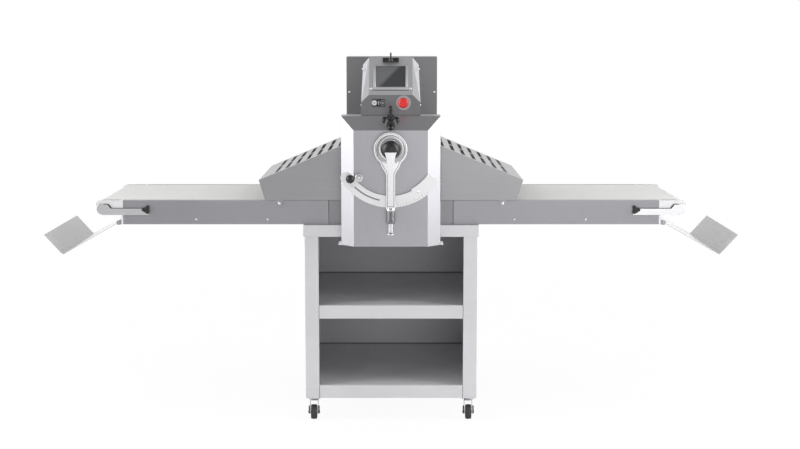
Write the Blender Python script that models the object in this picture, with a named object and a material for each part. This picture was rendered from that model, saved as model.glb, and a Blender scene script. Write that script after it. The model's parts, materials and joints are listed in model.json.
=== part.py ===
# Floor-standing dough sheeter: a roller head between two belt tables, on an open cabinet with casters.
# Metres, +Z up, the operator stands on the -Y side. Sizes are real sizes; y is measured from the middle
# of the belts, and one empty moves the whole machine so that its box is centred on the origin.
import math

import bmesh
import bpy
from mathutils import Matrix, Vector

# Clearances
FIT = 0.0003            # gap that seated pieces keep
RUN = 0.0004            # radial gap of turning pieces
OVERRUN = 0.010         # how far a cutter runs past what it cuts
SHEET = 0.0020          # sheet steel of casings, cabinet and tables

# Belts and tables
BELT_MARGIN = 0.030
BELT_THICK = 0.0022
TABLE_HALF_DEPTH = 0.300
TABLE_INNER_X = 0.250
TABLE_PANEL_HEIGHT = 0.097
TABLE_END_X = 1.081
BED_TONGUE_X = 0.140
PANEL_LIP = 0.018
FLANGE_WIDTH = 0.0275
DRIVE_ROLLER_X = 0.100
DRIVE_ROLLER_RADIUS = 0.025
END_ROLLER_REACH = 0.071
END_ROLLER_RADIUS = 0.0250
ROLLER_AXLE_RADIUS = 0.008
BRACKET_DROP = 0.033
BRACKET_REACH = 0.018

# Laminating rollers
ROLLER_RADIUS = 0.036
ROLLER_END_GAP = 0.0035
JOURNAL_RADIUS = 0.0125
REST_GAP = 0.0175
PLATE_THICK = 0.008
PLATE_HALF_WIDTH = 0.2477
PLATE_NECK_HALF = 0.185
PLATE_CREST_RISE = 0.069
CHEEK_THICK = 0.010
CHEEK_GAP = 0.0015
CHEEK_HALF_WIDTH = 0.060
CHEEK_FOOT = 0.022
CHEEK_HEAD = 0.036
TIE_RADIUS = 0.008
TIE_X = 0.040
TIE_RISE = 0.085
GIB_WIDTH = 0.012
SCRAPER_THICK = 0.003
SCRAPER_BAR = 0.018
SCRAPER_GAP = 0.0005
COVER_RISE = 0.061
COVER_HALF_WIDTH = 0.185
COVER_DROP = 0.045

# Cabinet and casters
CASTER_HEIGHT = 0.0906
CABINET_HALF_WIDTH = 0.346
CABINET_OVERHANG = 0.020
CABINET_REAR_INSET = 0.0035
DECK_TOP = 0.800
APRON_DROP = 0.047
APRON_PROUD = 0.005
STILE = 0.055
STILE_LIP = 0.016
MIDDLE_SHELF_RISE = 0.3824
SHELF_RAIL = 0.054
BOTTOM_RAIL = 0.0524
CASTER_SIDE_INSET = 0.032
CASTER_INSET = 0.036
CASTER_PLATE = 0.056
CASTER_PLATE_THICK = 0.003
WHEEL_RADIUS = 0.030
WHEEL_WIDTH = 0.024
CASTER_TRAIL = 0.020
FORK_THICK = 0.0025
FORK_GAP = 0.0025
FORK_HALF_LENGTH = 0.017
BEARING_RADIUS = 0.019
BEARING_HEIGHT = 0.009
WHEEL_AXLE_RADIUS = 0.005

# Front column
COLUMN_HALF_FACE = 0.144
COLUMN_HALF_WIDTH = 0.1945
COLUMN_DEPTH = 0.1597
COLUMN_SINK = 0.066
COLUMN_RISE = 0.344
SLOPE_RISE = 0.053
COLUMN_LIP = 0.012

# Rear column and drive
REAR_HALF_WIDTH = 0.198
REAR_HEIGHT = 0.655
REAR_DEPTH = 0.1732
MOTOR_RADIUS = 0.058
MOTOR_LENGTH = 0.100
MOTOR_RISE = 0.163
MOTOR_STAND = 0.040
SPROCKET_WIDTH = 0.006
SPROCKET_TOOTH = 0.004
SMALL_SPROCKET_RADIUS = 0.026
LARGE_SPROCKET_RADIUS = 0.044
SMALL_SPROCKET_TEETH = 13
LARGE_SPROCKET_TEETH = 22
CHAIN_THICK = 0.005

# Gap lever and its sector
LEVER_RISE = 0.220
SHAFT_RADIUS = 0.010
CRANK_RADIUS = 0.034
CRANK_THICK = 0.010
CRANK_THROW = 0.0249
CRANK_PIN_RADIUS = 0.005
LEVER_THICK = 0.014
LEVER_STAND = 0.023
EYE_RADIUS = 0.0645
EYE_DISH = 0.056
EYE_DISH_DEPTH = 0.006
HUB_CAP_RADIUS = 0.035
HUB_CAP_RISE = 0.026
BOSS_RADIUS = 0.026
ARM_HALF_WIDTH = 0.0175
ARM_LENGTH = 0.229
NECK_LENGTH = 0.100
COLLAR_RADIUS = 0.020
COLLAR_LENGTH = 0.009
SLEEVE_RADIUS = 0.0165
SLEEVE_LENGTH = 0.038
LOWER_COLLAR_LENGTH = 0.012
PIN_RADIUS = 0.0095
PIN_LENGTH = 0.044
FOOT_RADIUS = 0.0155
FOOT_LENGTH = 0.010
TONGUE_HALF_WIDTH = 0.024
TONGUE_DROP = 0.010
TONGUE_THICK = 0.009
SECTOR_INNER = 0.182
SECTOR_STEP = 0.008
SECTOR_STEP_DEG = 27.0
DETENT_COUNT = 12
DETENT_FIRST_DEG = 7.0
DETENT_PITCH_DEG = 3.0
DETENT_RADIUS = 0.0035
DETENT_DEPTH = 0.0015
SECTOR_OUTER = 0.228
SECTOR_THICK = 0.004
SECTOR_STAND = 0.008
SECTOR_LEFT_DEG = 57.0
SECTOR_RIGHT_DEG = 56.0
SECTOR_POST_RADIUS = 0.0045
SECTOR_POST_DEG = (-33.0, 8.0, 38.0)
SECTOR_POST_CIRCLE_RADIUS = 0.188
SLOT_CIRCLE_RADIUS = 0.203
SLOT_RADIUS = 0.0030
SLOT_UPPER_DEG = 48.5
SLOT_LOWER_DEG = 13.0
STOP_STUD_DEG = 47.0
STOP_STUD_RADIUS = 0.0025
STOP_PLATE_THICK = 0.003
STOP_NUT_CIRCLE_RADIUS = 0.168
STOP_NUT_RADIUS = 0.012
STOP_BALL_DEG = 53.7
STOP_BALL_CIRCLE_RADIUS = 0.194
STOP_BALL_RADIUS = 0.0170
STOP_STEM_RADIUS = 0.005
STOP_STEM_LENGTH = 0.016

# Control head
HEAD_HALF_WIDTH = 0.1155
HEAD_SETBACK = 0.060
HEAD_DEPTH = 0.095
HEAD_HEIGHT = 0.2243
HEAD_SHOULDER_RISE = 0.0517
HEAD_BREAK_RISE = 0.0807
HEAD_LEAN = 0.055
HEAD_CHAMFER = 0.024
HEAD_FACE_HALF_WIDTH = 0.0850
HEAD_CORNER_HALF_WIDTH = 0.109
HEAD_CORNER_DROP = 0.0276
WINDOW_HALF_WIDTH = 0.058
WINDOW_DROP = 0.0326
WINDOW_HEIGHT = 0.080
WINDOW_THICK = 0.003
SWITCH_X = -0.047
SWITCH_RISE = 0.0502
SWITCH_HALF_WIDTH = 0.0255
SWITCH_HALF_HEIGHT = 0.0145
SWITCH_THICK = 0.003
BUTTON_RADIUS = 0.0085
BUTTON_SPACING = 0.034
BUTTON_PROUD = 0.004
STOP_BUTTON_X = 0.050
STOP_BUTTON_RADIUS = 0.020
STOP_BUTTON_STEM = 0.011
STOP_BUTTON_STAND = 0.014
STOP_BUTTON_HEAD = 0.013
TOGGLE_BASE_HALF = 0.0315
TOGGLE_BASE_DROP = 0.0181
TOGGLE_LEDGE = 0.022
TOGGLE_LEDGE_THICK = 0.004
TOGGLE_BOOT_RADIUS = 0.011
TOGGLE_BOOT_HEIGHT = 0.014
TOGGLE_BALL_RADIUS = 0.0045
TOGGLE_STEM_RADIUS = 0.0032
TOGGLE_PROUD = 0.0204

# Front joystick on the sloped panel
STICK_LOBE_CIRCLE_RADIUS = 0.026
STICK_LOBE_RADIUS = 0.0115
STICK_LOBE_HEIGHT = 0.016
STICK_BOOT_RADIUS = 0.018
STICK_BOOT_TOP_RADIUS = 0.0105
STICK_BOOT_HEIGHT = 0.044
STICK_BALL_RADIUS = 0.0070
STICK_NECK_RADIUS = 0.0040
STICK_NECK_LENGTH = 0.020
STICK_CAP_RADIUS = 0.0080
STICK_CAP_LENGTH = 0.032

# Guards
GUARD_GAP = 0.0015
GUARD_INNER_X = 0.200
GUARD_CREST_X = 0.188
GUARD_CREST_HALF = 0.298
GUARD_RISE = 0.218
GUARD_OUTER_X = 0.528
GUARD_OUTER_RISE = 0.082
GUARD_FOOT_X = 0.504
GUARD_LIFT = 0.0015
GUARD_PIVOT_X = 0.446
GUARD_PIVOT_DROP = 0.011
GUARD_TAB_RADIUS = 0.014
GUARD_PIN_RADIUS = 0.004
SLOT_COUNT = 7
SLOT_PITCH = 0.0460
SLOT_WIDTH = 0.017
SLOT_EDGE_LENGTH = 0.082
SLOT_RIB = 0.030
SLOT_MARGIN = 0.034

# Catch pans
PAN_SHEET = 0.0016
PAN_MARGIN = 0.003
PAN_HINGE_REACH = 0.0115
PAN_HINGE_RISE = 0.0065
PAN_ROD_RADIUS = 0.0035
PAN_FLOOR = 0.263
PAN_FLOOR_DEG = 29.7
PAN_FLAP = 0.109
PAN_FLAP_DEG = 48.0
HOOK_THICK = 0.004
HOOK_RADIUS = 0.009

# Belt tension levers
TENSION_THICK = 0.005
TENSION_GAP = 0.0015
TENSION_HEAD_RADIUS = 0.0215
TENSION_HEAD_OUT = 0.004
TENSION_HEAD_DROP = 0.008
TENSION_BAR = 0.026
TENSION_BAR_DROP = 0.018
TENSION_LENGTH = 0.165
TENSION_FORK = 0.018

ROUND = 24
FINE = 32
SMALL = 12

# Places that follow from the sizes above
HALF_TURN = math.pi
BELT_TOP = DECK_TOP + TABLE_PANEL_HEIGHT
BELT_HALF = TABLE_HALF_DEPTH - BELT_MARGIN
PLATE_OUT = TABLE_HALF_DEPTH
PLATE_IN = PLATE_OUT - PLATE_THICK
CHEEK_OUT = PLATE_IN - CHEEK_GAP
CHEEK_IN = CHEEK_OUT - CHEEK_THICK
ROLLER_HALF = CHEEK_IN - ROLLER_END_GAP
LEVER_Z = BELT_TOP + LEVER_RISE
PLATE_TOP = LEVER_Z + PLATE_CREST_RISE
COVER_TOP = LEVER_Z + COVER_RISE
MOTOR_Z = BELT_TOP + MOTOR_RISE
CABINET_FRONT = -TABLE_HALF_DEPTH - CABINET_OVERHANG
MIDDLE_SHELF_TOP = CASTER_HEIGHT + MIDDLE_SHELF_RISE
CASTER_X = CABINET_HALF_WIDTH - CASTER_SIDE_INSET
END_ROLLER_X = TABLE_END_X + END_ROLLER_REACH
PAN_HALF_DEPTH = TABLE_HALF_DEPTH - PAN_MARGIN
PAN_HINGE_X = TABLE_END_X + PAN_HINGE_REACH
PAN_HINGE_Z = DECK_TOP + PAN_HINGE_RISE
GUARD_TOP_Z = BELT_TOP + GUARD_RISE
GUARD_OUTER_Z = BELT_TOP + GUARD_OUTER_RISE
GUARD_PIVOT_Z = BELT_TOP - GUARD_PIVOT_DROP
ROLLER_LOWER_Z = BELT_TOP - ROLLER_RADIUS
ROLLER_UPPER_Z = BELT_TOP + REST_GAP + ROLLER_RADIUS
BED_TOP = BELT_TOP - BELT_THICK - FIT
DRIVE_ROLLER_Z = BELT_TOP - BELT_THICK - FIT - DRIVE_ROLLER_RADIUS
END_ROLLER_Z = BELT_TOP - BELT_THICK - FIT - END_ROLLER_RADIUS
PANEL_BOTTOM = DECK_TOP + FIT
COLUMN_BACK = -PLATE_OUT - FIT
COLUMN_FRONT = COLUMN_BACK - COLUMN_DEPTH
COLUMN_BOTTOM = DECK_TOP - COLUMN_SINK
COLUMN_TOP = BELT_TOP + COLUMN_RISE
SLOPE_FOOT = COLUMN_TOP - SLOPE_RISE
COLUMN_CHAMFER_Y = COLUMN_FRONT + COLUMN_HALF_WIDTH - COLUMN_HALF_FACE
REAR_FRONT = PLATE_OUT + FIT
REAR_BACK = REAR_FRONT + REAR_DEPTH
CABINET_BACK = REAR_BACK - CABINET_REAR_INSET
REAR_TOP = DECK_TOP + REAR_HEIGHT
SECTOR_BACK = COLUMN_FRONT - SECTOR_STAND
SECTOR_FRONT = SECTOR_BACK - SECTOR_THICK
LEVER_BACK = COLUMN_FRONT - LEVER_STAND
LEVER_FRONT = LEVER_BACK - LEVER_THICK
LEVER_MID = (LEVER_BACK + LEVER_FRONT) / 2
STOP_PLATE_BACK = SECTOR_FRONT - FIT
STOP_PLATE_FRONT = STOP_PLATE_BACK - STOP_PLATE_THICK
HEAD_BOTTOM = COLUMN_TOP + FIT
HEAD_TOP = HEAD_BOTTOM + HEAD_HEIGHT
HEAD_FRONT = COLUMN_FRONT + HEAD_SETBACK
HEAD_BACK = HEAD_FRONT + HEAD_DEPTH
HEAD_SHOULDER = HEAD_BOTTOM + HEAD_SHOULDER_RISE
HEAD_BREAK = HEAD_BOTTOM + HEAD_BREAK_RISE
HEAD_CORNER_Z = HEAD_TOP - HEAD_CORNER_DROP
WINDOW_HIGH = HEAD_TOP - WINDOW_DROP
WINDOW_LOW = WINDOW_HIGH - WINDOW_HEIGHT
SWITCH_Z = HEAD_BOTTOM + SWITCH_RISE
TOGGLE_BASE_LOW = HEAD_TOP - TOGGLE_BASE_DROP
TOGGLE_TOP = HEAD_TOP + TOGGLE_PROUD
FRONT_REACH = LEVER_BACK - HUB_CAP_RISE - LEVER_THICK
REAR_REACH = CABINET_BACK + APRON_PROUD
MIDDLE_Y = (FRONT_REACH + REAR_REACH) / 2


def clear_scene():
    for obj in list(bpy.data.objects):
        bpy.data.objects.remove(obj, do_unlink=True)


clear_scene()
MACHINE = bpy.data.objects.new("machine_place", None)
bpy.context.scene.collection.objects.link(MACHINE)
MACHINE.location = (0, -MIDDLE_Y, 0)


def material(name, color, roughness, metallic):
    found = bpy.data.materials.get(name)
    if found:
        return found
    made = bpy.data.materials.new(name)
    made.use_nodes = True
    shader = made.node_tree.nodes["Principled BSDF"]
    shader.inputs["Base Color"].default_value = (*color, 1)
    shader.inputs["Roughness"].default_value = roughness
    shader.inputs["Metallic"].default_value = metallic
    made.diffuse_color = (*color, 1)
    return made


def brushed(name):
    return material("brushed_" + name, (0.62, 0.62, 0.64), 0.38, 1)


def chrome(name):
    return material("chrome_" + name, (0.80, 0.80, 0.82), 0.12, 1)


def plastic(name, color=(0.02, 0.02, 0.02)):
    return material("plastic_" + name, color, 0.45, 0)


def solid(name, mesh_maker):
    """A new object whose mesh the function fills, with its faces turned out."""
    mesh = bpy.data.meshes.new(name)
    work = bmesh.new()
    mesh_maker(work)
    bmesh.ops.remove_doubles(work, verts=work.verts, dist=1e-7)
    bmesh.ops.recalc_face_normals(work, faces=work.faces)
    work.to_mesh(mesh)
    work.free()
    obj = bpy.data.objects.new(name, mesh)
    bpy.context.scene.collection.objects.link(obj)
    return obj


AXIS_MAPS = {
    "X": lambda a, b, along: (along, a, b),
    "Y": lambda a, b, along: (a, along, b),
    "Z": lambda a, b, along: (a, b, along),
}


def prism(outline, low, high, axis, name="piece"):
    """An outline pulled straight from low to high along an axis."""
    place = AXIS_MAPS[axis]

    def fill(work):
        verts = [work.verts.new(place(a, b, low)) for a, b in outline]
        face = work.faces.new(verts)
        pulled = bmesh.ops.extrude_face_region(work, geom=[face])
        moved = [item for item in pulled["geom"] if isinstance(item, bmesh.types.BMVert)]
        bmesh.ops.translate(work, verts=moved, vec=Vector(place(0, 0, high - low)))

    return solid(name, fill)


def box(low, high, name="piece"):
    outline = [(low[0], low[1]), (high[0], low[1]), (high[0], high[1]), (low[0], high[1])]
    return prism(outline, low[2], high[2], "Z", name)


def arc(centre, radius, first_deg, last_deg, steps):
    """Points on an arc, angles measured from the first axis towards the second."""
    points = []
    for step in range(steps + 1):
        angle = math.radians(first_deg + (last_deg - first_deg) * step / steps)
        points.append((centre[0] + radius * math.cos(angle), centre[1] + radius * math.sin(angle)))
    return points


def circle(centre, radius, sides=ROUND):
    return arc(centre, radius, 0, 360, sides)[:-1]


def rod(centre, radius, low, high, axis="Y", sides=ROUND, name="piece"):
    return prism(circle(centre, radius, sides), low, high, axis, name)


def turned(profile, centre, direction, steps=ROUND, name="piece"):
    """A profile of (radius, height) points spun round a line through centre along direction."""
    line = Vector(direction).normalized()
    side = line.orthogonal().normalized()
    start = Vector(centre)

    def fill(work):
        verts = [work.verts.new(start + side * radius + line * height) for radius, height in profile]
        edges = [work.edges.new(pair) for pair in zip(verts, verts[1:])]
        if profile[0] == profile[-1]:
            edges.append(work.edges.new((verts[-1], verts[0])))
        bmesh.ops.spin(work, geom=verts + edges, cent=start, axis=line, dvec=(0, 0, 0),
                       angle=2 * HALF_TURN, steps=steps, use_merge=True, use_duplicate=False)
        bmesh.ops.remove_doubles(work, verts=work.verts, dist=1e-6)

    return solid(name, fill)


def combine(target, tools, operation):
    """Applies one Boolean after another to the target, and removes the tools."""
    for tool in tools:
        cut = target.modifiers.new(operation.lower(), "BOOLEAN")
        cut.operation = operation
        cut.solver = "EXACT"
        cut.object = tool
        bpy.context.view_layer.update()
        graph = bpy.context.evaluated_depsgraph_get()
        mesh = bpy.data.meshes.new_from_object(target.evaluated_get(graph))
        target.modifiers.clear()
        old = target.data
        target.data = mesh
        bpy.data.meshes.remove(old)
        bpy.data.objects.remove(tool, do_unlink=True)
    return target


def union(target, *tools):
    return combine(target, tools, "UNION")


def carve(target, *tools):
    return combine(target, tools, "DIFFERENCE")


def meet(target, *tools):
    return combine(target, tools, "INTERSECT")


def finish(obj, name, look, pivot=(0, 0, 0), smooth_deg=35):
    """Names a piece, gives it its material, and puts its origin on its joint's axis."""
    obj.name = name
    obj.data.name = name
    obj.data.materials.clear()
    obj.data.materials.append(look)
    for vert in obj.data.vertices:
        vert.co -= Vector(pivot)
    obj.data.shade_smooth()
    obj.data.set_sharp_from_angle(angle=math.radians(smooth_deg))
    obj.parent = MACHINE
    obj.location = pivot
    return obj


def mirrored(points, side):
    return [(a * side, b) for a, b in points]


def span(first, second):
    return min(first, second), max(first, second)


def offset_path(path, distance):
    """The path moved sideways by a distance, with mitred corners."""
    moved = []
    count = len(path)
    for index, point in enumerate(path):
        here = Vector(point)
        before = (here - Vector(path[index - 1])).normalized() if index else None
        after = (Vector(path[index + 1]) - here).normalized() if index < count - 1 else None
        first = before or after
        second = after or before
        normal_a = Vector((-first.y, first.x))
        normal_b = Vector((-second.y, second.x))
        mid = (normal_a + normal_b).normalized()
        moved.append(tuple(here + mid * distance / mid.dot(normal_a)))
    return moved


def bent_sheet(path, thickness, low, high, axis, name="piece"):
    """A folded sheet: its section follows a path and is pulled along an axis."""
    return prism(path + offset_path(path, thickness)[::-1], low, high, axis, name)


def cabinet_side(side):
    """Folded side panel: closed wall, front stile with a safety lip, and a rear flange."""
    outer = CABINET_HALF_WIDTH * side
    stile_x = (CABINET_HALF_WIDTH - STILE) * side
    path = [
        (stile_x, CABINET_FRONT + STILE_LIP),
        (stile_x, CABINET_FRONT),
        (outer, CABINET_FRONT),
        (outer, CABINET_BACK - SHEET - FIT),
        (outer - STILE_LIP * side, CABINET_BACK - SHEET - FIT),
    ]
    turn = 1 if side > 0 else -1
    name = "cabinet_right_side" if side > 0 else "cabinet_left_side"
    panel = bent_sheet(path, SHEET * turn, CASTER_HEIGHT, DECK_TOP - SHEET - FIT, "Z")
    return finish(panel, name, brushed("cabinet"))


def cabinet_back():
    low = (-CABINET_HALF_WIDTH, CABINET_BACK - SHEET, CASTER_HEIGHT)
    high = (CABINET_HALF_WIDTH, CABINET_BACK, DECK_TOP - SHEET - FIT)
    return finish(box(low, high), "cabinet_back", brushed("cabinet"))


def cabinet_deck():
    """Top tray with a turned-down apron on all four sides."""
    half = CABINET_HALF_WIDTH + APRON_PROUD
    front = CABINET_FRONT - APRON_PROUD
    back = CABINET_BACK + APRON_PROUD
    deck = box((-half, front, DECK_TOP - APRON_DROP), (half, back, DECK_TOP))
    hollow = box((-half + SHEET, front + SHEET, DECK_TOP - APRON_DROP - OVERRUN),
                 (half - SHEET, back - SHEET, DECK_TOP - SHEET))
    return finish(carve(deck, hollow), "cabinet_deck", brushed("cabinet"))


def shelf_outline():
    """Plan of a shelf, notched round the stiles and the rear flanges."""
    half = CABINET_HALF_WIDTH - SHEET - FIT
    inner = CABINET_HALF_WIDTH - STILE - FIT
    front = CABINET_FRONT + FIT
    lip = CABINET_FRONT + STILE_LIP + FIT
    back = CABINET_BACK - SHEET - FIT
    flange = back - SHEET - FIT
    notch = CABINET_HALF_WIDTH - STILE_LIP - FIT
    return [(-inner, front), (inner, front), (inner, lip), (half, lip), (half, flange), (notch, flange),
            (notch, back), (-notch, back), (-notch, flange), (-half, flange), (-half, lip), (-inner, lip)]


def inset(outline, distance):
    """A closed outline moved inwards by a distance, with mitred corners."""
    ring = [outline[-1]] + outline + [outline[0]]
    return offset_path(ring, distance)[1:-1]


def shelf_tray(top, rail):
    """A shelf with its edges turned down."""
    tray = prism(shelf_outline(), top - rail, top, "Z")
    return carve(tray, prism(inset(shelf_outline(), SHEET), top - rail - OVERRUN, top - SHEET, "Z"))


def middle_shelf():
    return finish(shelf_tray(MIDDLE_SHELF_TOP, SHELF_RAIL), "middle_shelf", brushed("cabinet"))


def caster_centres():
    front = CABINET_FRONT + CASTER_INSET
    back = CABINET_BACK - CASTER_INSET
    return {"front_left": (-CASTER_X, front), "front_right": (CASTER_X, front),
            "rear_left": (-CASTER_X, back), "rear_right": (CASTER_X, back)}


def bottom_shelf():
    """Lowest shelf, with the four caster plates welded under its corners."""
    tray = shelf_tray(CASTER_HEIGHT + BOTTOM_RAIL, BOTTOM_RAIL)
    half = CASTER_PLATE / 2
    under = CASTER_HEIGHT - CASTER_PLATE_THICK
    for x, y in caster_centres().values():
        plate = box((x - half, y - half, under), (x + half, y + half, CASTER_HEIGHT - FIT))
        pad = prism(shelf_outline(), under + FIT, CASTER_HEIGHT + SHEET, "Z")
        pad = meet(pad, box((x - half, y - half, under), (x + half, y + half, CASTER_HEIGHT + OVERRUN)))
        tray = union(tray, union(pad, plate))
    return finish(tray, "bottom_shelf", brushed("cabinet"))


def caster_fork(place, x, y):
    """Swivel bearing, crown and two legs with the wheel's axle bolt."""
    top = CASTER_HEIGHT - CASTER_PLATE_THICK - FIT
    bearing = turned([(0, top), (BEARING_RADIUS, top), (BEARING_RADIUS, top - BEARING_HEIGHT / 2),
                      (BEARING_RADIUS * 0.8, top - BEARING_HEIGHT), (0, top - BEARING_HEIGHT)],
                     (x, y, 0), (0, 0, 1), SMALL)
    half = WHEEL_WIDTH / 2 + FORK_GAP + FORK_THICK
    crown_top = top - BEARING_HEIGHT + FORK_THICK / 2
    wheel_y = y - CASTER_TRAIL
    crown = box((x - half, wheel_y - FORK_HALF_LENGTH / 2, crown_top - FORK_THICK),
                (x + half, y + FORK_HALF_LENGTH, crown_top))
    leg_outline = [(y + FORK_HALF_LENGTH, crown_top), (wheel_y - FORK_HALF_LENGTH / 2, crown_top)]
    leg_outline += arc((wheel_y, WHEEL_RADIUS), FORK_HALF_LENGTH / 2, 180, 360, SMALL // 2)
    legs = []
    for turn in (-1, 1):
        low, high = span(x + turn * half, x + turn * (half - FORK_THICK))
        legs.append(prism(leg_outline, low, high, "X"))
    reach = half + FORK_THICK
    axle = rod((wheel_y, WHEEL_RADIUS), WHEEL_AXLE_RADIUS, x - reach, x + reach, "X", SMALL)
    fork = union(crown, bearing, *legs, axle)
    return finish(fork, "caster_fork_" + place, chrome("caster"), (x, y, WHEEL_RADIUS))


def caster_wheel(place, x, y):
    """Wheel with a rounded tread and a bored hub."""
    half = WHEEL_WIDTH / 2
    bore = WHEEL_AXLE_RADIUS + RUN
    hub = WHEEL_RADIUS * 0.38
    web = half * 0.62
    rim = WHEEL_RADIUS * 0.78
    shoulder = WHEEL_RADIUS * 0.94
    profile = [(bore, -half), (hub, -half), (hub, -web), (rim, -web), (rim, -half), (shoulder, -half),
               (WHEEL_RADIUS, -half * 0.55), (WHEEL_RADIUS, half * 0.55), (shoulder, half), (rim, half),
               (rim, web), (hub, web), (hub, half), (bore, half), (bore, -half)]
    wheel_y = y - CASTER_TRAIL
    wheel = turned(profile, (x, wheel_y, WHEEL_RADIUS), (1, 0, 0), ROUND)
    return finish(wheel, "caster_wheel_" + place, plastic("wheel"), (x, wheel_y, WHEEL_RADIUS))


def column_outline(inset, back_y):
    """Plan of the front column: flat face, 45 degree chamfers and straight sides."""
    path = [(-COLUMN_HALF_WIDTH, back_y), (-COLUMN_HALF_WIDTH, COLUMN_CHAMFER_Y),
            (-COLUMN_HALF_FACE, COLUMN_FRONT), (COLUMN_HALF_FACE, COLUMN_FRONT),
            (COLUMN_HALF_WIDTH, COLUMN_CHAMFER_Y), (COLUMN_HALF_WIDTH, back_y)]
    return offset_path(path, inset) if inset else path


def front_housing():
    """Sheet column with a sloped panel on top, open at the back against the side plate."""
    notch_y = CABINET_FRONT - APRON_PROUD - SHEET
    side_view = [(COLUMN_FRONT, COLUMN_BOTTOM), (COLUMN_FRONT, SLOPE_FOOT), (COLUMN_CHAMFER_Y, COLUMN_TOP),
                 (COLUMN_BACK, COLUMN_TOP), (COLUMN_BACK, DECK_TOP + FIT), (notch_y, DECK_TOP + FIT),
                 (notch_y, COLUMN_BOTTOM)]
    outer = prism(column_outline(0, COLUMN_BACK), COLUMN_BOTTOM, COLUMN_TOP + OVERRUN, "Z")
    half = COLUMN_HALF_WIDTH + OVERRUN
    outer = meet(outer, prism(side_view, -half, half, "X"))
    slope = Vector((COLUMN_CHAMFER_Y - COLUMN_FRONT, COLUMN_TOP - SLOPE_FOOT)).normalized()
    drop = SHEET / slope.x
    inner_view = [(COLUMN_FRONT, COLUMN_BOTTOM + SHEET), (COLUMN_FRONT, SLOPE_FOOT - drop),
                  (COLUMN_CHAMFER_Y + SHEET * slope.y, COLUMN_TOP - SHEET),
                  (COLUMN_BACK + OVERRUN, COLUMN_TOP - SHEET),
                  (COLUMN_BACK + OVERRUN, COLUMN_BOTTOM + SHEET)]
    inner = prism(column_outline(SHEET, COLUMN_BACK + OVERRUN), COLUMN_BOTTOM, COLUMN_TOP, "Z")
    inner = meet(inner, prism(inner_view, -half, half, "X"))
    shell = carve(outer, inner)
    lip = [(COLUMN_HALF_WIDTH - SHEET, notch_y), (COLUMN_HALF_WIDTH + COLUMN_LIP, notch_y),
           (COLUMN_HALF_WIDTH + COLUMN_LIP, COLUMN_CHAMFER_Y - COLUMN_LIP / 2),
           (COLUMN_HALF_WIDTH - SHEET, COLUMN_CHAMFER_Y - SHEET)]
    for side in (-1, 1):
        shell = union(shell, prism(mirrored(lip, side), COLUMN_BOTTOM, COLUMN_BOTTOM + SHEET, "Z"))
    hole = rod((0, LEVER_Z), SHAFT_RADIUS + RUN, COLUMN_FRONT - OVERRUN, COLUMN_FRONT + OVERRUN)
    return finish(carve(shell, hole), "front_housing", brushed("column"))


def side_plate(face):
    """Thick plate that carries the rollers, with gibs that guide the carriage. face is -1 front, 1 rear."""
    low, high = span(face * PLATE_IN, face * PLATE_OUT)
    outline = [(-PLATE_HALF_WIDTH, DECK_TOP + FIT), (PLATE_HALF_WIDTH, DECK_TOP + FIT),
               (PLATE_HALF_WIDTH, BELT_TOP), (PLATE_NECK_HALF, BELT_TOP), (PLATE_NECK_HALF, PLATE_TOP),
               (-PLATE_NECK_HALF, PLATE_TOP), (-PLATE_NECK_HALF, BELT_TOP), (-PLATE_HALF_WIDTH, BELT_TOP)]
    plate = prism(outline, low, high, "Y")
    for side in (-1, 1):
        near = side * (CHEEK_HALF_WIDTH + FIT)
        far = near + side * GIB_WIDTH
        x_low, x_high = span(near, far)
        y_low, y_high = span(face * (PLATE_IN + SHEET), face * CHEEK_IN)
        gib = box((x_low, y_low, BELT_TOP + CHEEK_FOOT), (x_high, y_high, LEVER_Z - CRANK_RADIUS))
        plate = union(plate, gib)
    cut_low, cut_high = span(face * (PLATE_IN - OVERRUN), face * (PLATE_OUT + OVERRUN))
    holes = [rod((0, ROLLER_LOWER_Z), JOURNAL_RADIUS + RUN, cut_low, cut_high),
             rod((0, LEVER_Z), SHAFT_RADIUS + RUN, cut_low, cut_high)]
    for side in (-1, 1):
        holes.append(rod((side * DRIVE_ROLLER_X, DRIVE_ROLLER_Z), ROLLER_AXLE_RADIUS + RUN,
                         cut_low, cut_high, sides=SMALL))
    name = "front_side_plate" if face < 0 else "rear_side_plate"
    return finish(carve(plate, *holes), name, brushed("plate"))


def rear_housing():
    """Rear casing: taller than the front one, open where it closes on the side plate and the deck."""
    shell = box((-REAR_HALF_WIDTH, REAR_FRONT, DECK_TOP + FIT), (REAR_HALF_WIDTH, REAR_BACK, REAR_TOP))
    hollow = box((-REAR_HALF_WIDTH + SHEET, REAR_FRONT + SHEET, DECK_TOP - OVERRUN),
                 (REAR_HALF_WIDTH - SHEET, REAR_BACK - SHEET, REAR_TOP - SHEET))
    window = box((-PLATE_NECK_HALF + OVERRUN, REAR_FRONT - OVERRUN, DECK_TOP - OVERRUN),
                 (PLATE_NECK_HALF - OVERRUN, REAR_FRONT + OVERRUN, PLATE_TOP - OVERRUN))
    return finish(carve(shell, hollow, window), "rear_housing", brushed("rear"))


def sprocket_outline(centre, radius, teeth):
    """A simple tooth form: two points on the tip circle and two at the root for each tooth."""
    points = []
    step = 2 * HALF_TURN / teeth
    shares = ((0.0, 0), (0.25, 1), (0.5, 1), (0.75, 0))
    for tooth in range(teeth):
        for share, height in shares:
            angle = (tooth + share) * step
            reach = radius - SPROCKET_TOOTH * (1 - height)
            points.append((centre[0] + reach * math.cos(angle), centre[1] + reach * math.sin(angle)))
    return points


SPROCKET_NEAR = REAR_FRONT + SHEET + FIT + SPROCKET_WIDTH
SPROCKET_FAR = SPROCKET_NEAR + SPROCKET_WIDTH
MOTOR_FRONT = REAR_FRONT + MOTOR_STAND


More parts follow.
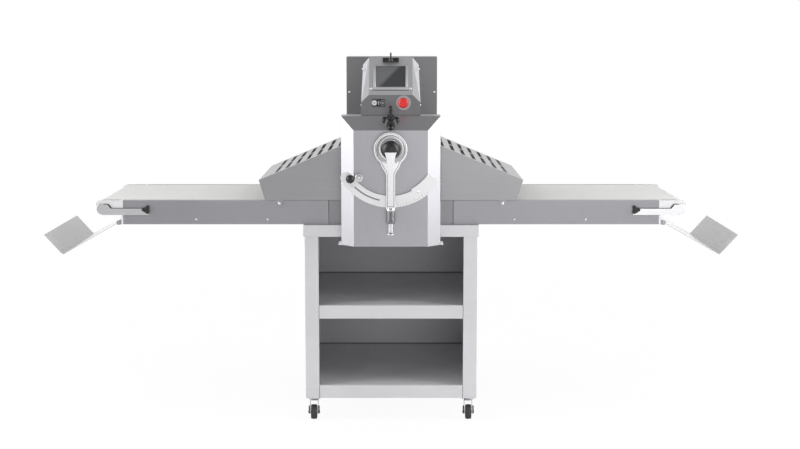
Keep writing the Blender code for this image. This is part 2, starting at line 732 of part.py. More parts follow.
def drive_motor():
    """Gear motor on a flange plate, with two legs that bolt to the rear side plate."""
    back = MOTOR_FRONT + MOTOR_LENGTH
    body = rod((0, MOTOR_Z), MOTOR_RADIUS, MOTOR_FRONT + PLATE_THICK / 2, back)
    reach = MOTOR_RADIUS + PLATE_THICK
    flange = box((-reach, MOTOR_FRONT, MOTOR_Z - reach), (reach, MOTOR_FRONT + PLATE_THICK, MOTOR_Z + reach))
    legs = []
    for side in (-1, 1):
        x_low, x_high = span(side * reach, side * (reach - PLATE_THICK))
        legs.append(box((x_low, PLATE_OUT + FIT, MOTOR_Z - reach),
                        (x_high, MOTOR_FRONT + PLATE_THICK / 2, MOTOR_Z + reach)))
    motor = union(body, flange, *legs)
    bore = rod((0, MOTOR_Z), SHAFT_RADIUS + RUN, MOTOR_FRONT - OVERRUN, MOTOR_FRONT + PLATE_THICK + OVERRUN)
    return finish(carve(motor, bore), "drive_motor", material("motor_paint", (0.10, 0.13, 0.16), 0.5, 0))


def motor_sprocket():
    teeth = prism(sprocket_outline((0, MOTOR_Z), SMALL_SPROCKET_RADIUS, SMALL_SPROCKET_TEETH),
                  SPROCKET_NEAR, SPROCKET_FAR, "Y")
    shaft = rod((0, MOTOR_Z), SHAFT_RADIUS, SPROCKET_NEAR + SHEET, MOTOR_FRONT + PLATE_THICK)
    return finish(union(teeth, shaft), "motor_sprocket", brushed("gear"), (0, SPROCKET_NEAR, MOTOR_Z))


def drive_chain():
    """Roller chain loop round both sprockets, as a plain band of the chain's height."""
    def loop(extra):
        top = arc((0, MOTOR_Z), SMALL_SPROCKET_RADIUS + extra, 0, 180, SMALL)
        return top + arc((0, ROLLER_LOWER_Z), LARGE_SPROCKET_RADIUS + extra, 180, 360, SMALL)

    band = prism(loop(CHAIN_THICK), SPROCKET_NEAR, SPROCKET_FAR, "Y")
    hollow = prism(loop(RUN), SPROCKET_NEAR - OVERRUN, SPROCKET_FAR + OVERRUN, "Y")
    return finish(carve(band, hollow), "drive_chain", brushed("chain"))


def lower_roller():
    """Fixed laminating roller; its rear journal carries the driven sprocket."""
    body = rod((0, ROLLER_LOWER_Z), ROLLER_RADIUS, -ROLLER_HALF, ROLLER_HALF, sides=FINE)
    journal = rod((0, ROLLER_LOWER_Z), JOURNAL_RADIUS, -PLATE_OUT, SPROCKET_FAR + SHEET)
    teeth = prism(sprocket_outline((0, ROLLER_LOWER_Z), LARGE_SPROCKET_RADIUS, LARGE_SPROCKET_TEETH),
                  SPROCKET_NEAR, SPROCKET_FAR, "Y")
    return finish(union(body, journal, teeth), "lower_roller", chrome("roller"), (0, 0, ROLLER_LOWER_Z))


def upper_roller():
    body = rod((0, ROLLER_UPPER_Z), ROLLER_RADIUS, -ROLLER_HALF, ROLLER_HALF, sides=FINE)
    journal = rod((0, ROLLER_UPPER_Z), JOURNAL_RADIUS, -CHEEK_OUT, CHEEK_OUT)
    return finish(union(body, journal), "upper_roller", chrome("roller"), (0, 0, ROLLER_UPPER_Z))


CRANK_TRAVEL = REST_GAP


def upper_carriage():
    """Two bearing cheeks joined by tie bars; the lever's crank pins lift them by their slots."""
    head = LEVER_Z + CHEEK_HEAD
    foot = ROLLER_UPPER_Z - CHEEK_FOOT
    pieces = []
    for face in (-1, 1):
        low, high = span(face * CHEEK_IN, face * CHEEK_OUT)
        pieces.append(box((-CHEEK_HALF_WIDTH, low, foot), (CHEEK_HALF_WIDTH, high, head)))
    tie_z = ROLLER_UPPER_Z + TIE_RISE
    ties = [rod((side * TIE_X, tie_z), TIE_RADIUS, -CHEEK_IN - SHEET, CHEEK_IN + SHEET, sides=SMALL)
            for side in (-1, 1)]
    frame = union(pieces[0], *ties, pieces[1])
    reach = CHEEK_OUT + OVERRUN
    holes = [rod((0, ROLLER_UPPER_Z), JOURNAL_RADIUS + RUN, -reach, reach)]
    slot_half = SHAFT_RADIUS + RUN
    rise = CRANK_TRAVEL + slot_half
    holes.append(box((-slot_half, -reach, LEVER_Z - rise), (slot_half, reach, LEVER_Z + rise)))
    pin_half = CRANK_PIN_RADIUS + RUN
    pin_first = slot_half + SHEET
    pin_slack = RUN + RUN
    holes.append(box((pin_first, -reach, LEVER_Z - pin_half - pin_slack),
                     (CRANK_THROW + pin_half, reach, LEVER_Z + pin_half + pin_slack)))
    return finish(carve(frame, *holes), "upper_carriage", brushed("carriage"), (0, 0, ROLLER_UPPER_Z))


SCRAPER_SHARES = ((0, 0), (0.9, 0.27), (0.9, 1.17))


def scraper(side, level):
    """Scraper bar with a blade that almost touches its roller. level is 1 for the upper roller."""
    roller_z = ROLLER_UPPER_Z if level > 0 else ROLLER_LOWER_Z
    blade_at = ROLLER_RADIUS + SCRAPER_GAP
    tip = (blade_at * math.cos(math.radians(35)), blade_at * math.sin(math.radians(35)))
    path = [(tip[0] + SCRAPER_BAR * out, tip[1] + SCRAPER_BAR * up) for out, up in SCRAPER_SHARES]
    shaped = [(x * side, roller_z + z * level) for x, z in path]
    reach = (CHEEK_IN if level > 0 else PLATE_IN) - FIT
    bar = bent_sheet(shaped, SCRAPER_THICK * side * level, -reach, reach, "Y")
    name = ("upper" if level > 0 else "lower") + "_scraper_" + ("right" if side > 0 else "left")
    return finish(bar, name, brushed("scraper"))


def roller_cover():
    """Folded cover over the rollers, between the side plates."""
    path = [(COVER_HALF_WIDTH, COVER_TOP - COVER_DROP), (COVER_HALF_WIDTH, COVER_TOP),
            (-COVER_HALF_WIDTH, COVER_TOP), (-COVER_HALF_WIDTH, COVER_TOP - COVER_DROP)]
    cover = bent_sheet(path, SHEET, -PLATE_IN + FIT, PLATE_IN - FIT, "Y")
    return finish(cover, "roller_cover", brushed("column"))


LEVER_PIVOT = (0, LEVER_MID, LEVER_Z)


def polar(radius, degrees):
    """A point round the lever's shaft; the angle is from straight down, positive to the left."""
    angle = math.radians(degrees)
    return -radius * math.sin(angle), LEVER_Z - radius * math.cos(angle)


def lever_outline():
    """Round eye drawn tangentially into a straight arm, with the arm's end at the bottom."""
    start = 50
    right = arc((0, LEVER_Z), EYE_RADIUS, -start, 180 + start, FINE)
    shares = ((0.45, 0.60), (0.75, 0.18), (1.0, 0.0))
    neck_x = EYE_RADIUS * math.cos(math.radians(start))
    neck_z = EYE_RADIUS * math.sin(math.radians(start))
    left = []
    for down, width in shares:
        x = ARM_HALF_WIDTH + (neck_x - ARM_HALF_WIDTH) * width
        left.append((-x, LEVER_Z - neck_z - (NECK_LENGTH - neck_z) * down))
    foot = [(-ARM_HALF_WIDTH, LEVER_Z - ARM_LENGTH), (ARM_HALF_WIDTH, LEVER_Z - ARM_LENGTH)]
    return right + left + foot + [(-x, z) for x, z in left[::-1]]


def tongue_outline(grow):
    top = LEVER_Z - TONGUE_DROP + grow
    half = TONGUE_HALF_WIDTH + grow
    narrow = ARM_HALF_WIDTH * 0.9 + grow
    foot = LEVER_Z - EYE_DISH - TONGUE_DROP
    return [(-half, top), (-narrow, LEVER_Z - HUB_CAP_RADIUS), (-narrow, foot),
            (narrow, foot), (narrow, LEVER_Z - HUB_CAP_RADIUS), (half, top)]


def gap_lever():
    """Forged lever: eye with a dished ring, arm, spindle with its collar and foot, and the front tongue."""
    plate = prism(lever_outline(), LEVER_FRONT, LEVER_BACK, "Y")
    dish = rod((0, LEVER_Z), EYE_DISH, LEVER_FRONT - OVERRUN, LEVER_FRONT + EYE_DISH_DEPTH, sides=FINE)
    plate = carve(plate, dish)
    tongue = prism(tongue_outline(0), LEVER_FRONT - TONGUE_THICK, LEVER_FRONT + EYE_DISH_DEPTH + SHEET, "Y")
    boss = rod((0, LEVER_Z), BOSS_RADIUS, LEVER_BACK - SHEET, COLUMN_FRONT - SHEET)
    end = ARM_LENGTH
    steps = [(0, -end + SHEET), (COLLAR_RADIUS * 0.8, -end + SHEET), (COLLAR_RADIUS, -end - COLLAR_LENGTH / 2),
             (COLLAR_RADIUS * 0.9, -end - COLLAR_LENGTH), (PIN_RADIUS, -end - COLLAR_LENGTH)]
    low = end + COLLAR_LENGTH + SLEEVE_LENGTH + LOWER_COLLAR_LENGTH + PIN_LENGTH
    steps += [(PIN_RADIUS, -low + FOOT_LENGTH), (FOOT_RADIUS, -low + FOOT_LENGTH / 2), (FOOT_RADIUS, -low),
              (0, -low)]
    spindle = turned(steps, (0, LEVER_MID, LEVER_Z), (0, 0, 1), ROUND)
    lever = union(plate, tongue, boss, spindle)
    bore = rod((0, LEVER_Z), SHAFT_RADIUS + RUN, LEVER_FRONT - TONGUE_THICK - OVERRUN,
               COLUMN_FRONT + OVERRUN)
    seat_back = LEVER_BACK - LEVER_THICK / 2
    cap_seat = rod((0, LEVER_Z), HUB_CAP_RADIUS + FIT, LEVER_FRONT - OVERRUN, seat_back)
    tongue_keep = prism(tongue_outline(0), LEVER_FRONT - TONGUE_THICK, LEVER_FRONT - FIT, "Y")
    lever = carve(lever, bore)
    lever = carve(lever, cap_seat)
    lever = union(lever, tongue_keep)
    return finish(lever, "gap_lever", chrome("lever"), LEVER_PIVOT)


def hub_cap():
    """Black domed cap in the eye, notched for the lever's tongue."""
    seat = LEVER_BACK - LEVER_THICK / 2 - FIT
    rise = HUB_CAP_RISE + LEVER_THICK / 2 - FIT
    shares = ((0.0, 1.0), (0.35, 0.96), (0.65, 0.84), (0.88, 0.62), (1.0, 0.34))
    profile = [(HUB_CAP_RADIUS * share, rise * height) for share, height in shares]
    profile += [(HUB_CAP_RADIUS, 0), (0, 0)]
    cap = turned(profile, (0, seat, LEVER_Z), (0, -1, 0), FINE)
    notch = prism(tongue_outline(FIT), LEVER_FRONT - HUB_CAP_RISE - OVERRUN, LEVER_FRONT + LEVER_THICK, "Y")
    return finish(carve(cap, notch), "hub_cap", plastic("hub"), LEVER_PIVOT)


def lever_sleeve():
    """Knurled sleeve with its lower collar, sliding on the lever's spindle."""
    top = -(ARM_LENGTH + COLLAR_LENGTH + FIT)
    bore = PIN_RADIUS + RUN
    foot = top - SLEEVE_LENGTH
    low = foot - LOWER_COLLAR_LENGTH
    profile = [(bore, top), (SLEEVE_RADIUS, top), (SLEEVE_RADIUS, foot), (COLLAR_RADIUS * 0.92, foot),
               (COLLAR_RADIUS * 0.8, low), (bore, low), (bore, top)]
    sleeve = turned(profile, (0, LEVER_MID, LEVER_Z), (0, 0, 1), ROUND)
    return finish(sleeve, "lever_sleeve", plastic("sleeve", (0.12, 0.12, 0.12)), LEVER_PIVOT)


def lever_shaft():
    """Shaft across the machine with a crank disc and pin at each carriage cheek."""
    front = LEVER_FRONT + EYE_DISH_DEPTH + SHEET
    shaft = rod((0, LEVER_Z), SHAFT_RADIUS, front + FIT, PLATE_OUT)
    pieces = []
    for face in (-1, 1):
        inner = CHEEK_IN - CHEEK_GAP
        low, high = span(face * inner, face * (inner - CRANK_THICK))
        disc = [(x, z) for x, z in circle((CRANK_THROW / 3, LEVER_Z), CRANK_RADIUS - CRANK_THROW / 3, ROUND)]
        pieces.append(prism(disc, low, high, "Y"))
        low, high = span(face * (inner - CRANK_THICK / 2), face * CHEEK_OUT)
        pieces.append(rod((CRANK_THROW, LEVER_Z), CRANK_PIN_RADIUS, low, high, sides=SMALL))
    return finish(union(shaft, *pieces), "lever_shaft", brushed("shaft"), (0, 0, LEVER_Z))


def arc_band(inner, outer, first_deg, last_deg, low, high, steps=FINE):
    """A plate between two radii round the lever's shaft."""
    angles = [first_deg + step * (last_deg - first_deg) / steps for step in range(steps + 1)]
    far = [polar(outer, degrees) for degrees in angles]
    near = [polar(inner, degrees) for degrees in angles]
    return prism(far + near[::-1], low, high, "Y")


def sector_arc():
    """Slotted quadrant on posts: detent notches and a stepped inner edge on its right half."""
    middle = (SECTOR_INNER + SECTOR_OUTER) / 2
    plate = arc_band(SECTOR_INNER, SECTOR_OUTER, -SECTOR_RIGHT_DEG, SECTOR_LEFT_DEG,
                     SECTOR_FRONT, SECTOR_BACK)
    step = arc_band(SECTOR_INNER - SECTOR_STEP, middle, -SECTOR_RIGHT_DEG, -SECTOR_STEP_DEG,
                    SECTOR_FRONT, SECTOR_BACK, SMALL)
    cap = rod(polar(middle, SECTOR_LEFT_DEG), (SECTOR_OUTER - SECTOR_INNER) / 2, SECTOR_FRONT, SECTOR_BACK)
    posts = [rod(polar(SECTOR_POST_CIRCLE_RADIUS, degrees), SECTOR_POST_RADIUS, SECTOR_FRONT + SHEET,
                 COLUMN_FRONT - FIT, sides=SMALL) for degrees in SECTOR_POST_DEG]
    plate = union(plate, step, cap, *posts)
    low, high = SECTOR_FRONT - OVERRUN, SECTOR_BACK + SHEET
    slot = arc_band(SLOT_CIRCLE_RADIUS - SLOT_RADIUS, SLOT_CIRCLE_RADIUS + SLOT_RADIUS,
                    SLOT_LOWER_DEG, SLOT_UPPER_DEG, low, high, SMALL)
    slot = union(slot, *[rod(polar(SLOT_CIRCLE_RADIUS, degrees), SLOT_RADIUS, low, high, sides=SMALL)
                         for degrees in (SLOT_UPPER_DEG, SLOT_LOWER_DEG)])
    reach = SECTOR_OUTER + DETENT_RADIUS - DETENT_DEPTH
    detents = []
    for index in range(DETENT_COUNT):
        place = polar(reach, -DETENT_FIRST_DEG - index * DETENT_PITCH_DEG)
        detents.append(rod(place, DETENT_RADIUS, low, high, sides=SMALL))
    return finish(carve(plate, slot, *detents), "sector_arc", brushed("sector"))


def stop_slider():
    """Clamped end stop: plate, clamp nut, stud through the slot and the stem of its ball."""
    ball = polar(STOP_BALL_CIRCLE_RADIUS, STOP_BALL_DEG)
    nut = polar(STOP_NUT_CIRCLE_RADIUS, STOP_STUD_DEG)
    stud = polar(SLOT_CIRCLE_RADIUS, STOP_STUD_DEG)
    plates = []
    for place in (ball, nut, stud):
        plates.append(rod(place, STOP_NUT_RADIUS, STOP_PLATE_FRONT, STOP_PLATE_BACK, sides=SMALL))
    link = [ball, nut, stud]
    plates.append(prism(link, STOP_PLATE_FRONT, STOP_PLATE_BACK, "Y"))
    clamp = rod(nut, STOP_NUT_RADIUS * 0.7, STOP_PLATE_FRONT - STOP_PLATE_THICK,
                STOP_PLATE_BACK - SHEET / 2, sides=SMALL)
    post = rod(stud, STOP_STUD_RADIUS, STOP_PLATE_BACK - SHEET, SECTOR_BACK + FIT + SHEET, sides=SMALL)
    washer = rod(stud, STOP_STUD_RADIUS + SLOT_RADIUS, SECTOR_BACK + FIT, SECTOR_BACK + FIT + SHEET,
                 sides=SMALL)
    stem = rod(ball, STOP_STEM_RADIUS, STOP_PLATE_FRONT - STOP_STEM_LENGTH, STOP_PLATE_BACK - SHEET / 2,
               sides=SMALL)
    slider = union(plates[0], *plates[1:], clamp, post, washer, stem)
    return finish(slider, "stop_slider", chrome("stop"), (0, STOP_PLATE_BACK, LEVER_Z))


def stop_ball():
    """Ball grip of the end stop, bored for its stem."""
    x, z = polar(STOP_BALL_CIRCLE_RADIUS, STOP_BALL_DEG)
    centre_y = STOP_PLATE_FRONT - FIT - STOP_BALL_RADIUS * 0.94
    points = arc((0, 0), STOP_BALL_RADIUS, -70, 90, SMALL // 2)
    low = points[0][1]
    profile = [(0, low)] + points[:-1] + [(0, STOP_BALL_RADIUS)]
    ball = turned(profile, (x, centre_y, z), (0, -1, 0), ROUND)
    bore = rod((x, z), STOP_STEM_RADIUS + FIT, STOP_PLATE_FRONT - STOP_STEM_LENGTH - FIT,
               STOP_PLATE_FRONT + OVERRUN, sides=SMALL)
    return finish(carve(ball, bore), "stop_ball", plastic("ball"), (0, STOP_PLATE_BACK, LEVER_Z))


def head_face_y(height):
    """The leaning front face's y at a height."""
    share = (height - HEAD_BREAK) / (HEAD_TOP - HEAD_BREAK)
    return HEAD_FRONT + HEAD_LEAN * max(share, 0)


def head_points(inset):
    """Corners of the control head, all walls moved in by inset but the open bottom."""
    lean = math.atan2(HEAD_LEAN, HEAD_TOP - HEAD_BREAK)
    slack = inset / math.cos(lean)
    top = HEAD_TOP - inset
    front = HEAD_FRONT + inset
    back = HEAD_BACK - inset
    half = HEAD_HALF_WIDTH - inset
    face = HEAD_FACE_HALF_WIDTH - inset / 2
    corner = HEAD_CORNER_HALF_WIDTH - inset
    corner_z = HEAD_CORNER_Z - inset / 2
    low = HEAD_BOTTOM - (OVERRUN if inset else 0)
    break_z = HEAD_BREAK - inset * math.tan(lean / 2)
    points = []
    for side in (-1, 1):
        points += [(side * half, front, low), (side * half, back, low),
                   (side * half, front, HEAD_SHOULDER - inset / 2), (side * half, back, HEAD_SHOULDER),
                   (side * face, front, break_z),
                   (side * corner, head_face_y(corner_z) + slack + HEAD_CHAMFER, corner_z),
                   (side * corner, back, corner_z),
                   (side * face, head_face_y(top) + slack, top), (side * face, back, top)]
    return points


def hull(points):
    def fill(work):
        for point in points:
            work.verts.new(point)
        made = bmesh.ops.convex_hull(work, input=work.verts)
        unused = [item for item in made["geom_interior"] if isinstance(item, bmesh.types.BMVert)]
        bmesh.ops.delete(work, geom=unused, context="VERTS")

    return solid("piece", fill)


def control_head():
    """Sheet housing with a leaning face, cut for the window, the switches and the stop button."""
    shell = carve(hull(head_points(0)), hull(head_points(SHEET)))
    cuts = [box((-WINDOW_HALF_WIDTH, HEAD_FRONT - OVERRUN, WINDOW_LOW),
                (WINDOW_HALF_WIDTH, head_face_y(WINDOW_HIGH) + OVERRUN, WINDOW_HIGH)),
            rod((STOP_BUTTON_X, SWITCH_Z), STOP_BUTTON_STEM + RUN, HEAD_FRONT - OVERRUN,
                HEAD_FRONT + OVERRUN)]
    for side in (-1, 1):
        cuts.append(rod((SWITCH_X + side * BUTTON_SPACING / 2, SWITCH_Z), BUTTON_RADIUS + RUN,
                        HEAD_FRONT - OVERRUN, HEAD_FRONT + OVERRUN, sides=SMALL))
    return finish(carve(shell, *cuts), "control_head", brushed("head"))


def control_window():
    """Dark window pane set into the leaning face, with its flange inside the wall."""
    low, high = WINDOW_LOW + FIT, WINDOW_HIGH - FIT
    half = WINDOW_HALF_WIDTH - FIT
    depth = WINDOW_THICK + SHEET
    outline = [(head_face_y(low) + SHEET / 2, low), (head_face_y(high) + SHEET / 2, high),
               (head_face_y(high) + depth, high), (head_face_y(low) + depth, low)]
    pane = prism(outline, -half, half, "X")
    edge = OVERRUN / 2
    behind = SHEET / math.cos(math.atan2(HEAD_LEAN, HEAD_TOP - HEAD_BREAK)) + FIT + FIT
    flange_low, flange_high = low - edge, high + edge
    low_y, high_y = head_face_y(flange_low) + behind, head_face_y(flange_high) + behind
    flange = [(low_y, flange_low), (high_y, flange_high), (high_y + depth, flange_high),
              (low_y + depth, flange_low)]
    pane = union(pane, prism(flange, -half - edge, half + edge, "X"))
    return finish(pane, "control_window", material("window_dark", (0.03, 0.03, 0.035), 0.1, 0))


def switch_plate():
    low = (SWITCH_X - SWITCH_HALF_WIDTH, HEAD_FRONT - SWITCH_THICK, SWITCH_Z - SWITCH_HALF_HEIGHT)
    high = (SWITCH_X + SWITCH_HALF_WIDTH, HEAD_FRONT - FIT, SWITCH_Z + SWITCH_HALF_HEIGHT)
    plate = box(low, high)
    holes = [rod((SWITCH_X + side * BUTTON_SPACING / 2, SWITCH_Z), BUTTON_RADIUS + RUN,
                 HEAD_FRONT - OVERRUN, HEAD_FRONT + OVERRUN, sides=SMALL) for side in (-1, 1)]
    return finish(carve(plate, *holes), "switch_plate", plastic("switch"))


def push_button(name, side, look):
    """Button with a head over its plate's hole and a wider collar behind the wall."""
    x = SWITCH_X + side * BUTTON_SPACING / 2
    front = HEAD_FRONT - SWITCH_THICK - BUTTON_PROUD
    inside = HEAD_FRONT + SHEET
    body = rod((x, SWITCH_Z), BUTTON_RADIUS, front, inside + BUTTON_PROUD, sides=SMALL)
    collar = rod((x, SWITCH_Z), BUTTON_RADIUS + SHEET, inside + FIT, inside + BUTTON_PROUD, sides=SMALL)
    return finish(union(body, collar), name, look, (x, front, SWITCH_Z))


def stop_button():
    """Red mushroom head on a round stem, with a collar behind the wall."""
    stem_back = HEAD_FRONT + SHEET + BUTTON_PROUD
    depth = STOP_BUTTON_STAND + STOP_BUTTON_HEAD
    dome = arc((0, 0), 1, 90, 0, SMALL // 2)
    profile = [(STOP_BUTTON_RADIUS * reach, STOP_BUTTON_STAND + STOP_BUTTON_HEAD * rise)
               for rise, reach in [(point[1], point[0]) for point in dome]]
    back = HEAD_FRONT - stem_back
    profile += [(STOP_BUTTON_STEM, STOP_BUTTON_STAND), (STOP_BUTTON_STEM, -SHEET - FIT),
                (STOP_BUTTON_STEM + SHEET, -SHEET - FIT), (STOP_BUTTON_STEM + SHEET, back), (0, back)]
    profile[0] = (0, depth)
    button = turned(profile, (STOP_BUTTON_X, HEAD_FRONT, SWITCH_Z), (0, -1, 0), ROUND)
    return finish(button, "stop_button", plastic("stop_button", (0.75, 0.03, 0.03)),
                  (STOP_BUTTON_X, HEAD_FRONT, SWITCH_Z))


TOGGLE_BACK = head_face_y(TOGGLE_BASE_LOW) - FIT
TOGGLE_Y = TOGGLE_BACK - TOGGLE_LEDGE / 2
TOGGLE_PIVOT = (0, TOGGLE_Y, TOGGLE_BASE_LOW + TOGGLE_LEDGE_THICK + TOGGLE_BOOT_HEIGHT)


def toggle_base():
    """Angle bracket on the head's face, with the boot of the small joystick on its ledge."""
    top = HEAD_TOP
    front = TOGGLE_BACK - TOGGLE_LEDGE
    base = box((-TOGGLE_BASE_HALF, front, TOGGLE_BASE_LOW),
               (TOGGLE_BASE_HALF, TOGGLE_BACK, TOGGLE_BASE_LOW + TOGGLE_LEDGE_THICK))
    wall = prism([(TOGGLE_BACK - SHEET, TOGGLE_BASE_LOW), (TOGGLE_BACK, TOGGLE_BASE_LOW),
                  (head_face_y(top) - FIT, top), (head_face_y(top) - FIT - SHEET, top)],
                 -TOGGLE_BASE_HALF, TOGGLE_BASE_HALF, "X")
    foot = TOGGLE_BASE_LOW + TOGGLE_LEDGE_THICK
    cup = TOGGLE_BALL_RADIUS + RUN
    rim = cup + SHEET
    mouth = foot + TOGGLE_BOOT_HEIGHT
    boot = turned([(0, foot - SHEET), (TOGGLE_BOOT_RADIUS, foot - SHEET),
                   (TOGGLE_BOOT_RADIUS * 0.9, foot + SHEET), (rim, mouth), (cup, mouth),
                   (cup, mouth - cup), (0, mouth - cup)],
                  (0, TOGGLE_Y, 0), (0, 0, 1), SMALL)
    return finish(union(base, wall, boot), "top_joystick_base", plastic("toggle"))


def toggle_stick():
    """Small stick on a ball, standing in the boot's cup."""
    ball = arc((0, 0), TOGGLE_BALL_RADIUS, -90, 40, SMALL // 2)
    rise = TOGGLE_TOP - TOGGLE_PIVOT[2]
    profile = [(0, -TOGGLE_BALL_RADIUS)] + ball[1:]
    profile += [(TOGGLE_STEM_RADIUS, rise - SHEET), (0, rise)]
    stick = turned(profile, TOGGLE_PIVOT, (0, 0, 1), SMALL)
    return finish(stick, "top_joystick_stick", plastic("toggle"), TOGGLE_PIVOT)


SLOPE_ALONG = Vector((0, COLUMN_CHAMFER_Y - COLUMN_FRONT, COLUMN_TOP - SLOPE_FOOT)).normalized()
SLOPE_NORMAL = Vector((0, -SLOPE_ALONG.z, SLOPE_ALONG.y))
SLOPE_MIDDLE = Vector((0, (COLUMN_CHAMFER_Y + COLUMN_FRONT) / 2, (COLUMN_TOP + SLOPE_FOOT) / 2))
STICK_SEAT = SLOPE_MIDDLE + SLOPE_NORMAL * FIT
STICK_PIVOT = STICK_SEAT + SLOPE_NORMAL * STICK_BOOT_HEIGHT


def stick_boot():
    """Joystick boot on the sloped panel: three lobes round a tapering cone with a cup for the ball."""
    cup = STICK_BALL_RADIUS + RUN
    height = STICK_BOOT_HEIGHT
    up = (0, 0, 1)
    boot = turned([(0, 0), (STICK_BOOT_RADIUS, 0), (STICK_BOOT_RADIUS, STICK_LOBE_HEIGHT / 2),
                   (STICK_BOOT_TOP_RADIUS, height), (cup, height), (cup, height - cup), (0, height - cup)],
                  (0, 0, 0), up, ROUND)
    lobes = []
    for x, y in arc((0, 0), STICK_LOBE_CIRCLE_RADIUS, -90, 150, 2):
        profile = [(0, 0), (STICK_LOBE_RADIUS, 0), (STICK_LOBE_RADIUS, STICK_LOBE_HEIGHT * 0.55),
                   (STICK_LOBE_RADIUS * 0.7, STICK_LOBE_HEIGHT * 0.9), (0, STICK_LOBE_HEIGHT)]
        lobes.append(turned(profile, (x, y, 0), up, SMALL))
    boot = union(boot, *lobes)
    lean = Vector(up).rotation_difference(SLOPE_NORMAL).to_matrix().to_4x4()
    boot.data.transform(Matrix.Translation(STICK_SEAT) @ lean)
    return finish(boot, "front_joystick_boot", plastic("boot"))


def stick_lever():
    """Joystick: ball in the boot's cup, thin neck and a round cap."""
    ball = arc((0, 0), STICK_BALL_RADIUS, -90, 50, SMALL // 2)
    cap_low = STICK_NECK_LENGTH
    cap_high = STICK_NECK_LENGTH + STICK_CAP_LENGTH
    profile = [(0, -STICK_BALL_RADIUS)] + ball[1:]
    profile += [(STICK_NECK_RADIUS, cap_low), (STICK_CAP_RADIUS * 0.85, cap_low),
                (STICK_CAP_RADIUS, cap_low + SHEET), (STICK_CAP_RADIUS, cap_high - SHEET),
                (STICK_CAP_RADIUS * 0.7, cap_high), (0, cap_high)]
    stick = turned(profile, STICK_PIVOT, SLOPE_NORMAL, SMALL)
    return finish(stick, "front_joystick_stick", plastic("boot"), STICK_PIVOT)


def side_name(side, name):
    return ("right_" if side > 0 else "left_") + name


def table_frame(side):
    """Folded table: side panels and slider bed in one section, end brackets and pan hooks."""
    half = TABLE_HALF_DEPTH
    inner = half - FLANGE_WIDTH
    low_lip = half - PANEL_LIP
    path = [(-low_lip, PANEL_BOTTOM), (-half, PANEL_BOTTOM), (-half, BELT_TOP), (-inner, BELT_TOP),
            (-inner, BED_TOP), (inner, BED_TOP), (inner, BELT_TOP), (half, BELT_TOP),
            (half, PANEL_BOTTOM), (low_lip, PANEL_BOTTOM)]
    low, high = span(side * TABLE_INNER_X, side * TABLE_END_X)
    frame = bent_sheet(path, -SHEET, low, high, "X")
    tongue_low, tongue_high = span(side * BED_TONGUE_X, side * (TABLE_INNER_X + OVERRUN))
    frame = union(frame, box((tongue_low, -BELT_HALF, BED_TOP - SHEET), (tongue_high, BELT_HALF, BED_TOP)))
    nose = END_ROLLER_X + BRACKET_REACH
    ear_top = BELT_TOP
    ear_low = BELT_TOP - BRACKET_DROP - SHEET
    ear = [(TABLE_END_X - OVERRUN, ear_low), (nose, ear_low)]
    ear += arc((nose - BRACKET_REACH / 3, ear_top - BRACKET_REACH), BRACKET_REACH, 0, 90, SMALL // 2)
    ear += [(TABLE_END_X - OVERRUN, ear_top)]
    hook = [(TABLE_END_X - OVERRUN, PANEL_BOTTOM + SHEET), (PAN_HINGE_X, PAN_HINGE_Z - HOOK_RADIUS)]
    hook += arc((PAN_HINGE_X, PAN_HINGE_Z), HOOK_RADIUS, -60, 90, SMALL // 2)
    hook += [(TABLE_END_X - OVERRUN, PAN_HINGE_Z + HOOK_RADIUS + HOOK_RADIUS)]
    for face in (-1, 1):
        y_low, y_high = span(face * (half - SHEET / 2), face * (half - SHEET - HOOK_THICK))
        bore_low, bore_high = y_low - OVERRUN, y_high + OVERRUN
        ear_solid = carve(prism(mirrored(ear, side), y_low, y_high, "Y"),
                          rod((side * END_ROLLER_X, END_ROLLER_Z), ROLLER_AXLE_RADIUS + RUN,
                              bore_low, bore_high, sides=SMALL))
        hook_solid = carve(prism(mirrored(hook, side), y_low, y_high, "Y"),
                           rod((side * PAN_HINGE_X, PAN_HINGE_Z), PAN_ROD_RADIUS + RUN,
                               bore_low, bore_high, sides=SMALL))
        frame = union(frame, ear_solid, hook_solid)
    return finish(frame, side_name(side, "table_frame"), brushed("table"))


def belt(side):
    """Endless belt round the drive roller and the end roller."""
    def loop(extra):
        end = arc((END_ROLLER_X, END_ROLLER_Z), END_ROLLER_RADIUS + extra, -90, 90, SMALL)
        return end + arc((DRIVE_ROLLER_X, DRIVE_ROLLER_Z), DRIVE_ROLLER_RADIUS + extra, 90, 270, SMALL)

    band = prism(mirrored(loop(FIT + BELT_THICK), side), -BELT_HALF, BELT_HALF, "Y")
    hollow = prism(mirrored(loop(FIT), side), -BELT_HALF - OVERRUN, BELT_HALF + OVERRUN, "Y")
    look = material("belt_white", (0.85, 0.85, 0.84), 0.6, 0)
    return finish(carve(band, hollow), side_name(side, "belt"), look)


def drive_roller(side):
    centre = (side * DRIVE_ROLLER_X, DRIVE_ROLLER_Z)
    body = rod(centre, DRIVE_ROLLER_RADIUS, -BELT_HALF, BELT_HALF)
    axle = rod(centre, ROLLER_AXLE_RADIUS, -PLATE_OUT, PLATE_OUT, sides=SMALL)
    return finish(union(body, axle), side_name(side, "drive_roller"), brushed("roller"),
                  (centre[0], 0, centre[1]))


def end_roller(side):
    """Tube that turns on the tension lever's axle."""
    centre = (side * END_ROLLER_X, END_ROLLER_Z)
    tube = rod(centre, END_ROLLER_RADIUS, -BELT_HALF, BELT_HALF)
    bore = rod(centre, ROLLER_AXLE_RADIUS + RUN, -BELT_HALF - OVERRUN, BELT_HALF + OVERRUN, sides=SMALL)
    return finish(carve(tube, bore), side_name(side, "end_roller"), brushed("roller"),
                  (centre[0], 0, centre[1]))


